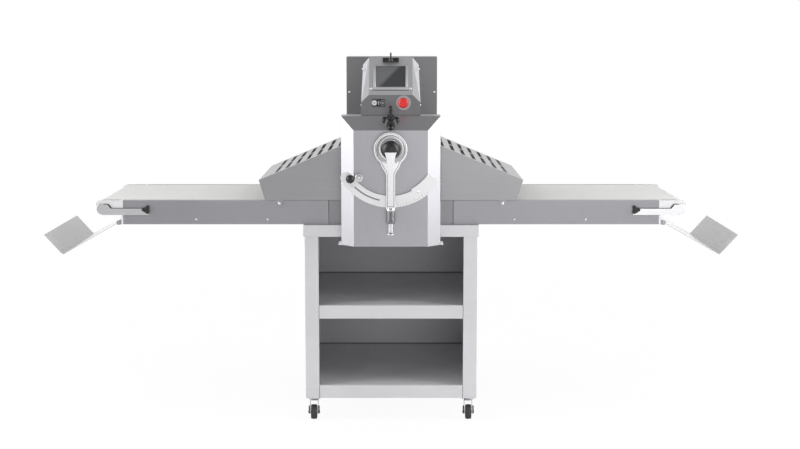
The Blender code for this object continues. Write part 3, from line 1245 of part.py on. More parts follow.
def tension_lever(side):
    """The end roller's axle with a cranked arm and forked finger grip at each end."""
    axle_x, axle_z = END_ROLLER_X, END_ROLLER_Z
    head_x, head_z = axle_x + TENSION_HEAD_OUT, axle_z - TENSION_HEAD_DROP
    top = axle_z - TENSION_BAR_DROP + TENSION_BAR / 2
    low = axle_z - TENSION_BAR_DROP - TENSION_BAR / 2
    tip = axle_x - TENSION_LENGTH
    fork = TENSION_FORK
    third = TENSION_BAR / 3
    arm = [(head_x, low), (tip, low), (tip - fork, low), (tip - fork, low + third), (tip, low + third),
           (tip, top - third), (tip - fork, top - third + SHEET), (tip - fork, top + SHEET), (tip, top),
           (head_x - TENSION_HEAD_RADIUS * 1.6, top),
           (head_x - TENSION_HEAD_RADIUS, head_z + TENSION_HEAD_RADIUS * 0.9),
           (head_x, head_z + TENSION_HEAD_RADIUS * 0.9)]
    arms = []
    for face in (-1, 1):
        inner = TABLE_HALF_DEPTH + TENSION_GAP
        y_low, y_high = span(face * inner, face * (inner + TENSION_THICK))
        head = rod((side * head_x, head_z), TENSION_HEAD_RADIUS, y_low, y_high)
        arms.append(union(head, prism(mirrored(arm, side), y_low, y_high, "Y")))
    reach = TABLE_HALF_DEPTH + TENSION_GAP + SHEET
    axle = rod((side * axle_x, axle_z), ROLLER_AXLE_RADIUS, -reach, reach, sides=SMALL)
    return finish(union(axle, *arms), side_name(side, "tension_lever"), chrome("tension"),
                  (side * axle_x, 0, axle_z))


def catch_pan(side):
    """Folded catch pan: sloping floor, raised flap and a hinge rod along its upper edge."""
    down = math.radians(PAN_FLOOR_DEG)
    rise = math.radians(PAN_FLAP_DEG)
    fold = (PAN_HINGE_X + PAN_FLOOR * math.cos(down), PAN_HINGE_Z - PAN_FLOOR * math.sin(down))
    tip = (fold[0] + PAN_FLAP * math.cos(rise), fold[1] + PAN_FLAP * math.sin(rise))
    start = (PAN_HINGE_X + PAN_ROD_RADIUS * math.cos(down) / 2,
             PAN_HINGE_Z - PAN_ROD_RADIUS * math.sin(down) / 2)
    soften = OVERRUN
    bend = [(fold[0] - soften * math.cos(down), fold[1] + soften * math.sin(down)),
            (fold[0], fold[1] + soften * 0.17),
            (fold[0] + soften * math.cos(rise), fold[1] + soften * math.sin(rise))]
    path = mirrored([start] + bend + [tip], side)
    inside = TABLE_HALF_DEPTH - SHEET - HOOK_THICK - FIT
    neck = PAN_FLOOR * 0.12
    floor_end = (PAN_HINGE_X + neck * math.cos(down), PAN_HINGE_Z - neck * math.sin(down))
    narrow = bent_sheet(mirrored([start, floor_end], side), PAN_SHEET * side,
                        -inside + RUN, inside - RUN, "Y")
    wide_path = mirrored([(floor_end[0] - SHEET * math.cos(down), floor_end[1] + SHEET * math.sin(down))]
                         + bend + [tip], side)
    wide = bent_sheet(wide_path, PAN_SHEET * side, -PAN_HALF_DEPTH, PAN_HALF_DEPTH, "Y")
    hinge = rod((side * PAN_HINGE_X, PAN_HINGE_Z), PAN_ROD_RADIUS, -TABLE_HALF_DEPTH, TABLE_HALF_DEPTH,
                sides=SMALL)
    return finish(union(wide, narrow, hinge), side_name(side, "catch_pan"), brushed("pan"),
                  (side * PAN_HINGE_X, 0, PAN_HINGE_Z))


def guard(side):
    """Roller guard: front and rear plates on pivot tabs, and a sloped top with two rows of slots."""
    foot = BELT_TOP + GUARD_LIFT
    inner = TABLE_HALF_DEPTH + GUARD_GAP
    outer = inner + SHEET
    cheek = [(GUARD_INNER_X, foot), (GUARD_FOOT_X, foot), (GUARD_OUTER_X, GUARD_OUTER_Z),
             (GUARD_INNER_X, GUARD_TOP_Z)]
    slope = Vector((GUARD_OUTER_X - GUARD_INNER_X, GUARD_OUTER_Z - GUARD_TOP_Z))
    length = slope.length
    along = slope / length
    under = Vector((along.y, -along.x)) * SHEET
    tail = [(GUARD_OUTER_X, GUARD_OUTER_Z), (GUARD_OUTER_X + under.x, GUARD_OUTER_Z + under.y)]
    rise = GUARD_TOP_Z - (GUARD_INNER_X - GUARD_CREST_X) * along.y / along.x
    ridge = [(GUARD_CREST_X, rise)] + tail + [(GUARD_CREST_X, rise - SHEET / along.x)]
    body = prism(mirrored(ridge, side), -outer, outer, "Y")
    for face in (-1, 1):
        x_low, x_high = span(side * (GUARD_CREST_X - OVERRUN), side * GUARD_INNER_X)
        y_low, y_high = span(face * GUARD_CREST_HALF, face * (outer + OVERRUN))
        body = carve(body, box((x_low, y_low, BELT_TOP), (x_high, y_high, GUARD_TOP_Z + OVERRUN)))
    for face in (-1, 1):
        y_low, y_high = span(face * inner, face * outer)
        plate = prism(mirrored(cheek, side), y_low, y_high, "Y")
        tab = [(GUARD_PIVOT_X + GUARD_TAB_RADIUS, foot + SHEET),
               (GUARD_PIVOT_X - GUARD_TAB_RADIUS, foot + SHEET)]
        tab += arc((GUARD_PIVOT_X, GUARD_PIVOT_Z), GUARD_TAB_RADIUS, 180, 360, SMALL // 2)
        pin_low, pin_high = span(face * (TABLE_HALF_DEPTH + FIT), face * (outer + SHEET))
        pin = rod((side * GUARD_PIVOT_X, GUARD_PIVOT_Z), GUARD_PIN_RADIUS, pin_low, pin_high, sides=SMALL)
        body = union(body, plate, prism(mirrored(tab, side), y_low, y_high, "Y"), pin)
    row = outer - SLOT_MARGIN
    cutters = []
    for index in range(SLOT_COUNT):
        start = length - SLOT_EDGE_LENGTH - index * SLOT_PITCH
        for y_low, y_high in ((-row, -SLOT_RIB / 2), (SLOT_RIB / 2, row)):
            base = Vector((GUARD_INNER_X, GUARD_TOP_Z))
            near = base + along * start
            far = base + along * (start + SLOT_WIDTH)
            lift = -under.normalized() * OVERRUN / 2
            sink = under.normalized() * (OVERRUN / 2 + SHEET)
            corners = [tuple(near + lift), tuple(far + lift), tuple(far + sink), tuple(near + sink)]
            cutters.append(prism(mirrored(corners, side), y_low, y_high, "Y"))
    return finish(carve(body, *cutters), side_name(side, "guard"), brushed("guard"),
                  (side * GUARD_PIVOT_X, 0, GUARD_PIVOT_Z))


def build():
    for side in (-1, 1):
        cabinet_side(side)
        table_frame(side)
        belt(side)
        drive_roller(side)
        end_roller(side)
        tension_lever(side)
        catch_pan(side)
        guard(side)
        for level in (-1, 1):
            scraper(side, level)
    cabinet_back()
    cabinet_deck()
    middle_shelf()
    bottom_shelf()
    for place, (x, y) in caster_centres().items():
        caster_fork(place, x, y)
        caster_wheel(place, x, y)
    front_housing()
    side_plate(-1)
    side_plate(1)
    rear_housing()
    drive_motor()
    motor_sprocket()
    drive_chain()
    lower_roller()
    upper_roller()
    upper_carriage()
    roller_cover()
    gap_lever()
    hub_cap()
    lever_sleeve()
    lever_shaft()
    sector_arc()
    stop_slider()
    stop_ball()
    control_head()
    control_window()
    switch_plate()
    push_button("on_button", -1, plastic("on_button", (0.80, 0.80, 0.80)))
    push_button("off_button", 1, plastic("off_button"))
    stop_button()
    toggle_base()
    toggle_stick()
    stick_boot()
    stick_lever()


build()
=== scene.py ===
import json
import math

import bmesh
import bpy
from mathutils import Matrix, Vector


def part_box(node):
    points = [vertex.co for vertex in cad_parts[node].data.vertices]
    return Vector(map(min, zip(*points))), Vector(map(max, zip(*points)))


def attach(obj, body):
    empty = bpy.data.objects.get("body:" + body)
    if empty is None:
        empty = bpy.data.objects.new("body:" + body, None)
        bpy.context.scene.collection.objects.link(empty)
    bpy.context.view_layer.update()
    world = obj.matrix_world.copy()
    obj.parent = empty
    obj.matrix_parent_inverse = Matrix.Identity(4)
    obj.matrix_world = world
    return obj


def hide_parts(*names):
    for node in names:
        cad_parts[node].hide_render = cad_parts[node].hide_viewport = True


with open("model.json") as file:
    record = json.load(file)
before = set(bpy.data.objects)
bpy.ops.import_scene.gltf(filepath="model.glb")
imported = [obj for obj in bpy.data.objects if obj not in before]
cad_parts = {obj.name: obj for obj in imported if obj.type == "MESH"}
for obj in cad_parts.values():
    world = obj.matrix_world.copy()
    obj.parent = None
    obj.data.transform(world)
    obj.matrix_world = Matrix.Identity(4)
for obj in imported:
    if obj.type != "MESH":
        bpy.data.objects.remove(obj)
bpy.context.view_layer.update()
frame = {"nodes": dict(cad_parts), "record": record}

# Stage and camera
# A white studio: a pale floor that keeps a soft shadow, with the camera square in front of the
# machine and a little above it, as the photograph was taken.
PICTURE_WIDTH = 800
FOCAL_PIXELS = 1446.6
SENSOR = 36.0
CAMERA_PLACE = (0.036, -6.024, 1.586)
CAMERA_PITCH = 0.136
FLOOR_HALF = 14.0
SHADOW_NEAR = 1.0
SHADOW_FAR = 4.0
SHADOW_WHITE = 0.94

camera_data = bpy.data.cameras.new("camera")
camera_data.sensor_width = SENSOR
camera_data.lens = FOCAL_PIXELS * SENSOR / PICTURE_WIDTH
camera = bpy.data.objects.new("camera", camera_data)
bpy.context.scene.collection.objects.link(camera)
camera.location = CAMERA_PLACE
camera.rotation_euler = (math.pi / 2 - CAMERA_PITCH, 0, 0)
bpy.context.scene.camera = camera
bpy.context.scene.view_settings.view_transform = "Standard"


def node_adder(tree):
    """A function that adds a shader node, with its links by socket and its values by name."""

    def add(kind, links=(), **settings):
        node = tree.nodes.new("ShaderNode" + kind)
        for key, value in settings.items():
            socket = key.replace("_", " ")
            if socket in node.inputs:
                node.inputs[socket].default_value = value
            else:
                setattr(node, key, value)
        for socket, source in links:
            tree.links.new(source, node.inputs[socket])
        return node

    return add


def new_material(name):
    """An empty node material: its shader, and functions that add nodes and join them to the shader."""
    made = bpy.data.materials.new(name)
    made.use_nodes = True
    tree = made.node_tree
    shader = tree.nodes["Principled BSDF"]

    def join(**links):
        for socket, source in links.items():
            tree.links.new(source, shader.inputs[socket.replace("_", " ")])

    return made, shader, node_adder(tree), join


def floor_material():
    """White floor: it shows the machine's soft shadow, and is plain white further out."""
    made, shader, add, join = new_material("studio_floor")
    shader.inputs["Base Color"].default_value = (0.86, 0.86, 0.86, 1)
    shader.inputs["Roughness"].default_value = 0.9
    away = add("VectorMath", [(0, add("TexCoord").outputs["Object"])], operation="LENGTH")
    share = add("MapRange", [("Value", away.outputs["Value"])],
                From_Min=SHADOW_NEAR, From_Max=SHADOW_FAR, To_Min=SHADOW_WHITE, To_Max=1.0)
    path = add("LightPath")
    part = add("Math", [(0, path.outputs["Is Camera Ray"]), (1, share.outputs[0])], operation="MULTIPLY")
    glow = add("Emission", Color=(1, 1, 1, 1), Strength=1.0)
    mix = add("MixShader", [(0, part.outputs[0]), (1, shader.outputs[0]), (2, glow.outputs[0])])
    made.node_tree.links.new(mix.outputs[0], made.node_tree.nodes["Material Output"].inputs["Surface"])
    return made


floor_mesh = bpy.data.meshes.new("studio_floor")
floor_mesh.from_pydata([(-FLOOR_HALF, -FLOOR_HALF, 0), (FLOOR_HALF, -FLOOR_HALF, 0),
                        (FLOOR_HALF, FLOOR_HALF, 0), (-FLOOR_HALF, FLOOR_HALF, 0)], [], [(0, 1, 2, 3)])
floor = bpy.data.objects.new("studio_floor", floor_mesh)
bpy.context.scene.collection.objects.link(floor)
floor.data.materials.append(floor_material())


# Light
# Large soft boxes at the left and right make the bright column edges, two weaker ones hang above the
# tables and a weak fill stands behind the camera. The world is white to the camera; to the machine it
# is bright at the sides and behind, and darker above.
SIDE_BOX_PLACE = (4.2, -1.0, 1.8)
SIDE_BOX_SIZE = 3.0
SIDE_BOX_POWER = 100
HIGH_BOX_PLACE = (2.9, -1.0, 3.3)
HIGH_BOX_SIZE = 1.8
HIGH_BOX_POWER = 42
FILL_BOX_PLACE = (1.5, -7.4, 1.4)
FILL_BOX_SIZE = 3.2
FILL_BOX_POWER = 48
WORLD_FRONT = 0.62
WORLD_SIDE = 1.05
WORLD_BEHIND = 1.1
WORLD_ABOVE = 0.34
LAMP_AIM = Vector((0, 0, 0.9))


def soft_box(name, place, size, power):
    lamp_data = bpy.data.lights.new(name, "AREA")
    lamp_data.size = size
    lamp_data.energy = power
    lamp = bpy.data.objects.new(name, lamp_data)
    bpy.context.scene.collection.objects.link(lamp)
    lamp.location = place
    lamp.rotation_euler = (LAMP_AIM - Vector(place)).to_track_quat("-Z", "Y").to_euler()


for side, name in ((-1, "left_"), (1, "right_")):
    for kind, (across, depth, height), size, power in (
            ("side_box", SIDE_BOX_PLACE, SIDE_BOX_SIZE, SIDE_BOX_POWER),
            ("high_box", HIGH_BOX_PLACE, HIGH_BOX_SIZE, HIGH_BOX_POWER)):
        soft_box(name + kind, (across * side, depth, height), size, power)
soft_box("fill_box", FILL_BOX_PLACE, FILL_BOX_SIZE, FILL_BOX_POWER)


def studio_world():
    """White to the camera; to the machine its strength changes with the direction."""
    world = bpy.data.worlds.new("studio")
    bpy.context.scene.world = world
    world.use_nodes = True
    tree = world.node_tree
    add = node_adder(tree)

    def ramp(value, first, last, low, high):
        return add("MapRange", [("Value", value)], interpolation_type="SMOOTHSTEP",
                   From_Min=first, From_Max=last, To_Min=low, To_Max=high).outputs[0]

    way = add("SeparateXYZ", [(0, add("TexCoord").outputs["Generated"])]).outputs
    aside = add("Math", [(0, way["X"])], operation="ABSOLUTE")
    around = ramp(aside.outputs[0], 0.35, 0.95, WORLD_FRONT, WORLD_SIDE)
    behind = ramp(way["Y"], 0.1, 0.8, 0.0, WORLD_BEHIND)
    above = ramp(way["Z"], 0.45, 0.95, 1.0, WORLD_ABOVE / WORLD_FRONT)
    brighter = add("Math", [(0, around), (1, behind)], operation="MAXIMUM")
    level = add("Math", [(0, brighter.outputs[0]), (1, above)], operation="MULTIPLY")
    shade = tree.nodes["Background"]
    shade.inputs["Color"].default_value = (1, 1, 1, 1)
    tree.links.new(level.outputs[0], shade.inputs["Strength"])
    white = add("Background", Color=(1, 1, 1, 1))
    camera_ray = add("LightPath").outputs["Is Camera Ray"]
    mix = add("MixShader", [(0, camera_ray), (1, shade.outputs[0]), (2, white.outputs[0])])
    tree.links.new(mix.outputs[0], tree.nodes["World Output"].inputs["Surface"])


studio_world()


# Cabinet
# Folded stainless sheet about 2 mm thick: two closed sides, a back, a deck with a turned-down apron
# and two shelves. The sheet has a fine horizontal satin grain and slightly rounded bends; its inner
# sides are painted darker as shade and the shelves' tops painted lighter as light from above, dark
# strips of painted shade line the shelf joints, and rivets close the back.
CABINET_STEEL = (0.60, 0.60, 0.62)
SHELF_TOP_LIGHT = (0.86, 0.86, 0.87)
INNER_SHADE_STEEL = (0.47, 0.47, 0.485)
CABINET_EDGE = 0.0006
SEAM_SHADE_BAND = 0.0030
SEAM_LINE = 0.0012


def two_tone(add, factor, dark, light, first=0.0, last=1.0):
    """A colour that runs from one tone to another with a factor."""
    ramp = add("ValToRGB", [(0, factor)])
    for stop, place, tone in zip(ramp.color_ramp.elements, (first, last), (dark, light)):
        stop.position = place
        stop.color = (*tone, 1)
    return ramp.outputs["Color"]


def steel(name, color, roughness, grain=(1.5, 60, 240), metallic=0.75, contrast=0.10):
    """Brushed stainless: long fine grain lines, broad cloudy wear and a light bump."""
    made, shader, add, join = new_material(name)
    place = add("TexCoord").outputs["Object"]
    stretch = add("Mapping", [(0, place)], Scale=grain)
    lines = add("TexNoise", [(0, stretch.outputs[0])], Scale=6.0, Detail=5.0, Roughness=0.65).outputs["Fac"]
    cloud = add("TexNoise", [(0, place)], Scale=3.1, Detail=3.0)
    both = add("Mix", [("A", lines), ("B", cloud.outputs["Fac"])], data_type="FLOAT", Factor=0.4)
    dark, light = (tuple(min(part * level, 1) for part in color) for level in (1 - contrast, 1 + contrast))
    shader.inputs["Metallic"].default_value = metallic
    gloss = add("MapRange", [("Value", lines)], To_Min=roughness * 0.8, To_Max=roughness * 1.2)
    dents = add("Bump", [("Height", lines)], Strength=0.02, Distance=0.001)
    join(Base_Color=two_tone(add, both.outputs["Result"], dark, light, 0.25, 0.75),
         Roughness=gloss.outputs[0], Normal=dents.outputs["Normal"])
    return made


def dress(name, look, edge=0.0, smooth_deg=30):
    """Gives a CAD node its finish. With an edge, a welded copy with rounded bends stands for it."""
    source = frame["nodes"][name]
    if not edge:
        source.data.materials.clear()
        source.data.materials.append(look)
        return source
    piece = bpy.data.objects.new(name + "_finished", source.data.copy())
    bpy.context.scene.collection.objects.link(piece)
    piece.matrix_world = source.matrix_world.copy()
    piece.data.transform(piece.matrix_world)
    piece.matrix_world = Matrix()
    work = bmesh.new()
    work.from_mesh(piece.data)
    bmesh.ops.remove_doubles(work, verts=work.verts, dist=1e-6)
    bmesh.ops.dissolve_limit(work, angle_limit=math.radians(0.5), verts=work.verts, edges=work.edges)
    limit = math.radians(smooth_deg)
    sharp = [line for line in work.edges if len(line.link_faces) == 2 and line.calc_face_angle(0) > limit]
    bends = set(bmesh.ops.bevel(work, geom=sharp, offset=edge, segments=2, profile=0.5, affect="EDGES",
                                clamp_overlap=True)["faces"])
    for face in work.faces:
        face.smooth = True
    for line in work.edges:
        kinds = {face in bends for face in line.link_faces}
        line.smooth = kinds == {True} or (kinds == {False} and line.calc_face_angle(0) < limit)
    work.to_mesh(piece.data)
    work.free()
    piece.data.materials.clear()
    piece.data.materials.append(look)
    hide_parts(name)
    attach(piece, body_of[name])
    return piece


body_of = {node: body for body, nodes in frame["record"]["behaviour"]["bodies"].items() for node in nodes}


def make(name, like, look, fill, instead=False, smooth_deg=35):
    """A new piece that a function fills; it rides with a CAD node and can stand in its place."""
    mesh = bpy.data.meshes.new(name)
    work = bmesh.new()
    fill(work)
    bmesh.ops.recalc_face_normals(work, faces=work.faces)
    work.to_mesh(mesh)
    work.free()
    mesh.materials.append(look)
    mesh.shade_smooth()
    mesh.set_sharp_from_angle(angle=math.radians(smooth_deg))
    piece = bpy.data.objects.new(name, mesh)
    bpy.context.scene.collection.objects.link(piece)
    if like:
        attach(piece, body_of[like])
    if instead:
        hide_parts(like)
    return piece


def scatter(name, like, look, size, places, shape):
    """Copies of a unit shape, set on the surface at each place and turned to its normal."""
    mesh = bpy.data.meshes.new(name)
    mesh.from_pydata([place for place, facing in places], [], [])
    normals = mesh.attributes.new("facing", "FLOAT_VECTOR", "POINT")
    for index, (place, facing) in enumerate(places):
        normals.data[index].vector = facing
    piece = bpy.data.objects.new(name, mesh)
    bpy.context.scene.collection.objects.link(piece)
    unit = make(name + "_unit", None, look, shape)
    tree = bpy.data.node_groups.new(name + "_pattern", "GeometryNodeTree")
    sockets = {}
    for label, kind in (("Geometry", "Geometry"), ("Shape", "Object"), ("Size", "Float"),
                        ("Finish", "Material")):
        sockets[label] = tree.interface.new_socket(label, in_out="INPUT", socket_type="NodeSocket" + kind)
    tree.interface.new_socket("Geometry", in_out="OUTPUT", socket_type="NodeSocketGeometry")

    def node(kind, **links):
        made = tree.nodes.new(kind)
        for socket, source in links.items():
            tree.links.new(source, made.inputs[socket.replace("_", " ")])
        return made

    given = node("NodeGroupInput").outputs
    info = node("GeometryNodeObjectInfo", Object=given["Shape"])
    facing = node("GeometryNodeInputNamedAttribute")
    facing.data_type = "FLOAT_VECTOR"
    facing.inputs["Name"].default_value = "facing"
    turn = node("FunctionNodeAlignRotationToVector", Vector=facing.outputs["Attribute"])
    copies = node("GeometryNodeInstanceOnPoints", Points=given["Geometry"], Instance=info.outputs["Geometry"],
                  Rotation=turn.outputs["Rotation"], Scale=given["Size"])
    real = node("GeometryNodeRealizeInstances", Geometry=copies.outputs["Instances"])
    finish = node("GeometryNodeSetMaterial", Geometry=real.outputs["Geometry"], Material=given["Finish"])
    node("NodeGroupOutput", Geometry=finish.outputs["Geometry"])
    pattern = piece.modifiers.new("pattern", "NODES")
    pattern.node_group = tree
    pattern[sockets["Shape"].identifier] = unit
    pattern[sockets["Size"].identifier] = size
    pattern[sockets["Finish"].identifier] = look
    bpy.context.view_layer.update()
    graph = bpy.context.evaluated_depsgraph_get()
    piece.data = bpy.data.meshes.new_from_object(piece.evaluated_get(graph))
    piece.modifiers.clear()
    bpy.data.objects.remove(unit, do_unlink=True)
    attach(piece, body_of[like])


def bridge(work, loops, caps=False):
    """Faces from each closed loop of vertices to the next, and caps on the first and last one."""
    for lower, upper in zip(loops, loops[1:]):
        for step in range(len(lower)):
            after = (step + 1) % len(lower)
            work.faces.new((lower[step], lower[after], upper[after], upper[step]))
    if caps:
        work.faces.new(loops[0])
        work.faces.new(loops[-1])


def rings(work, profile, steps=24, hollow=False):
    """A turned form round Z, solid or a closed tube. Its profile holds (radius, height, corners), with 6
    corners for a hexagon and 0 for a round."""
    loops = []
    for radius, height, corners in profile:
        loop = []
        for step in range(steps):
            angle = 2 * math.pi * step / steps
            reach = radius
            if corners:
                part = 2 * math.pi / corners
                reach = radius * math.cos(part / 2) / math.cos(angle % part - part / 2)
            loop.append(work.verts.new((reach * math.cos(angle), reach * math.sin(angle), height)))
        loops.append(loop)
    bridge(work, loops + loops[:1] if hollow else loops, caps=not hollow)


def add_box(work, corner, far):
    """A box between two corners."""
    for vert in bmesh.ops.create_cube(work, size=1.0)["verts"]:
        vert.co = Vector([a if part < 0 else b for a, b, part in zip(corner, far, vert.co)])


def socket_screw(work):
    """Button head with a hexagonal socket, one unit in radius, standing on its seat."""
    rings(work, [(1.0, 0.0, 0), (1.0, 0.10, 0), (0.93, 0.36, 0), (0.78, 0.56, 0), (0.62, 0.64, 0),
                 (0.46, 0.64, 6), (0.42, 0.20, 6)])


def rivet(work):
    """Low domed rivet head, one unit in radius."""
    rings(work, [(1.0, 0.0, 0), (0.96, 0.14, 0), (0.80, 0.30, 0), (0.50, 0.42, 0), (0.16, 0.46, 0)])


def second_look(piece, look, chosen, cut_x=0.0):
    """Gives a second finish to the faces that the test chooses, after a cut across X if one is given."""
    if cut_x:
        work = bmesh.new()
        work.from_mesh(piece.data)
        bmesh.ops.bisect_plane(work, geom=list(work.verts) + list(work.edges) + list(work.faces),
                               plane_co=(cut_x, 0, 0), plane_no=(1, 0, 0), dist=1e-6)
        work.to_mesh(piece.data)
        work.free()
    piece.data.materials.append(look)
    for face in piece.data.polygons:
        if chosen(face):
            face.material_index = 1


def spread(low, high, count):
    """Heights of evenly spaced fixings, 50 mm from both ends."""
    return [low + 0.05 + row * (high - low - 0.10) / (count - 1) for row in range(count)]


cabinet_steel = steel("cabinet_steel", CABINET_STEEL, 0.42)
shelf_top_light_steel = steel("shelf_top_light_steel", SHELF_TOP_LIGHT, 0.5, metallic=0.5)
inner_shade_steel = steel("inner_shade_steel", INNER_SHADE_STEEL, 0.5, metallic=0.6)
dress("cabinet_deck", cabinet_steel, CABINET_EDGE)
for name, inwards in (("cabinet_left_side", Vector((1, 0, 0))), ("cabinet_right_side", Vector((-1, 0, 0))),
                      ("cabinet_back", Vector((0, -1, 0)))):
    panel = dress(name, cabinet_steel, CABINET_EDGE)
    # Painted shade: the panels' inner faces take a darker copy of the steel.
    second_look(panel, inner_shade_steel, lambda face: face.normal.dot(inwards) > 0.9)
for name in ("middle_shelf", "bottom_shelf"):
    shelf = dress(name, cabinet_steel, CABINET_EDGE)
    # Painted light: the shelves' upward faces take a lighter copy of the steel.
    second_look(shelf, shelf_top_light_steel, lambda face: face.normal.z > 0.9)


def seam_shade_strips(name):
    """Thin dark strips of painted shade where a shelf meets the back, and where its front lip meets the
    stiles.
    """
    node = frame["nodes"][name]
    low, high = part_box(name)
    places = [node.matrix_world @ vertex.co for vertex in node.data.vertices]
    lip = max(abs(place.x) for place in places if place.y < low.y + 0.0008)

    def fill(work):
        add_box(work, (low.x + 0.002, high.y - SEAM_SHADE_BAND, high.z - 0.0002),
                (high.x - 0.002, high.y, high.z + SEAM_SHADE_BAND))
        for side in (-1, 1):
            x_low, x_high = sorted((side * (lip - SEAM_LINE), side * (lip + SEAM_LINE / 2)))
            add_box(work, (x_low, low.y - 0.0003, low.z + 0.001), (x_high, low.y + 0.0012, high.z - 0.001))

    return fill


# Painted shade: dark strips stand for the shadow lines at the shelf joints.
seam_shade = steel("painted_seam_shade", (0.045, 0.045, 0.047), 0.6, grain=(40, 40, 40), metallic=0.0)
for name in ("middle_shelf", "bottom_shelf"):
    make(name + "_seams", name, seam_shade, seam_shade_strips(name))
fastener_zinc = steel("fastener_zinc", (0.80, 0.80, 0.81), 0.25, grain=(40, 40, 40), metallic=0.9)
panel_low, panel_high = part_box("cabinet_back")
rivet_places = [((side * (panel_high.x - 0.010), panel_high.y, height), (0, 1, 0))
                for height in spread(panel_low.z, panel_high.z, 6) for side in (-1, 1)]
scatter("cabinet_rivets", "cabinet_back", fastener_zinc, 0.0034, rivet_places, rivet)


# Casters
# Zinc plated pressed forks on swivel bearings, with dark plastic wheels. Each wheel has a rounded tread
# with fine mould lines, a stepped hub and a hub bush; oval plastic covers and nuts close the axle.
WHEEL_STEPS = 72
ARM_REACH = 0.0051
COVER_STEPS = 32
COVER_RADIUS = 0.0085
COVER_RISE = 0.017
COVER_THICK = 0.0050
NUT_SUNK = 0.0035
BOLT_SPACING = 0.021
BOLT_REAR = 0.019
fork_steel = steel("caster_zinc", (0.72, 0.72, 0.74), 0.3, grain=(30, 30, 30), metallic=0.8)


def moulded(name, color, roughness):
    """Moulded plastic: one colour with slight cloudiness and a fine leather-like grain."""
    made, shader, add, join = new_material(name)
    place = add("TexCoord").outputs["Object"]
    cloud = add("TexNoise", [(0, place)], Scale=40.0, Detail=3.0).outputs["Fac"]
    pores = add("TexNoise", [(0, place)], Scale=900.0, Detail=2.0)
    dark = tuple(part * 0.85 for part in color)
    light = tuple(part * 1.15 + 0.003 for part in color)
    gloss = add("MapRange", [("Value", cloud)], To_Min=roughness * 0.85, To_Max=roughness * 1.15)
    dents = add("Bump", [("Height", pores.outputs["Fac"])], Strength=0.06, Distance=0.0005)
    join(Base_Color=two_tone(add, cloud, dark, light), Roughness=gloss.outputs[0],
         Normal=dents.outputs["Normal"])
    return made


def aimed(work, centre, direction, start=0):
    """Turns what the mesh holds from a vertex on, from round Z at the origin to a line through centre."""
    work.verts.ensure_lookup_table()
    turn = Vector((0, 0, 1)).rotation_difference(Vector(direction)).to_matrix().to_4x4()
    bmesh.ops.transform(work, matrix=Matrix.Translation(centre) @ turn, verts=work.verts[start:])


def wheel_form(centre, radius, half, bore):
    """Wheel on a bush: half the section of its hub on either side of its tread."""
    tread = [(radius * 0.78, -half), (radius * 0.90, -half), (radius * 0.95, -half * 0.90)]
    for step in range(-8, 9):
        across = step / 8
        groove = 0.010 if step in (-5, 0, 5) else 0.0
        tread.append((radius * (1.0 - 0.045 * abs(across) ** 3 - groove), half * 0.86 * across))
    tread += [(radius * 0.95, half * 0.90), (radius * 0.90, half), (radius * 0.78, half)]
    hub = [(radius * 0.74, half * 0.62), (radius * 0.44, half * 0.62), (radius * 0.38, half * 0.94),
           (radius * 0.30, half * 0.94), (radius * 0.28, half * 0.70), (bore, half * 0.70)]
    section = [(reach, -across) for reach, across in hub[::-1]] + tread + hub

    def fill(work):
        rings(work, [(reach, across, 0) for reach, across in section], WHEEL_STEPS, hollow=True)
        aimed(work, centre, (1, 0, 0))

    return fill


def hexagon_nut(work):
    """Nut with a stub of its bolt, one unit in radius, standing on its seat."""
    rings(work, [(1.0, 0.0, 6), (1.0, 0.62, 6), (0.90, 0.78, 0), (0.50, 0.78, 0), (0.46, 1.0, 0)])


def arm_covers(centre, inner, outer):
    """Oval plastic covers on the outside of the fork arms, from the axle upwards."""

    def fill(work):
        for side in (-1, 1):
            loops = []
            for reach, radius in ((inner, COVER_RADIUS), (outer - 0.0012, COVER_RADIUS),
                                  (outer, COVER_RADIUS * 0.86)):
                loop = []
                for step in range(COVER_STEPS):
                    angle = 2 * math.pi * step / COVER_STEPS
                    along, up = radius * math.cos(angle), radius * math.sin(angle)
                    rise = COVER_RISE if math.sin(angle) > 0 else 0.0
                    loop.append(work.verts.new(centre + Vector((side * reach, along, rise + up))))
                loops.append(loop)
            bridge(work, loops, caps=True)

    return fill


wheel_plastic = moulded("wheel_plastic", (0.022, 0.022, 0.024), 0.5)
caster_dark = moulded("caster_dark", (0.012, 0.012, 0.013), 0.4)
for place in ("front_left", "front_right", "rear_left", "rear_right"):
    wheel, fork = "caster_wheel_" + place, "caster_fork_" + place
    dress(fork, fork_steel, 0.0006)
    low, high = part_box(wheel)
    centre = (low + high) / 2
    radius = (high.z - low.z) / 2
    half = (high.x - low.x) / 2
    make("caster_tread_" + place, wheel, wheel_plastic, wheel_form(centre, radius, half, radius * 0.18),
         instead=True)
    arm = half + ARM_REACH
    make("caster_guards_" + place, fork, caster_dark, arm_covers(centre, arm, arm + COVER_THICK))
    reach = Vector((arm + COVER_THICK - NUT_SUNK, 0, 0))
    scatter("caster_nuts_" + place, fork, caster_dark, 0.0055,
            [(centre + side * reach, (side, 0, 0)) for side in (-1, 1)], hexagon_nut)
    plate = Vector((centre.x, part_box(fork)[1].y - BOLT_REAR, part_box(fork)[1].z))
    bolts = [(plate + Vector((side, along, 0)) * BOLT_SPACING, (0, 0, -1))
             for side in (-1, 1) for along in (-1, 1)]
    scatter("caster_bolts_" + place, "bottom_shelf", fastener_zinc, 0.0040, bolts, hexagon_nut)
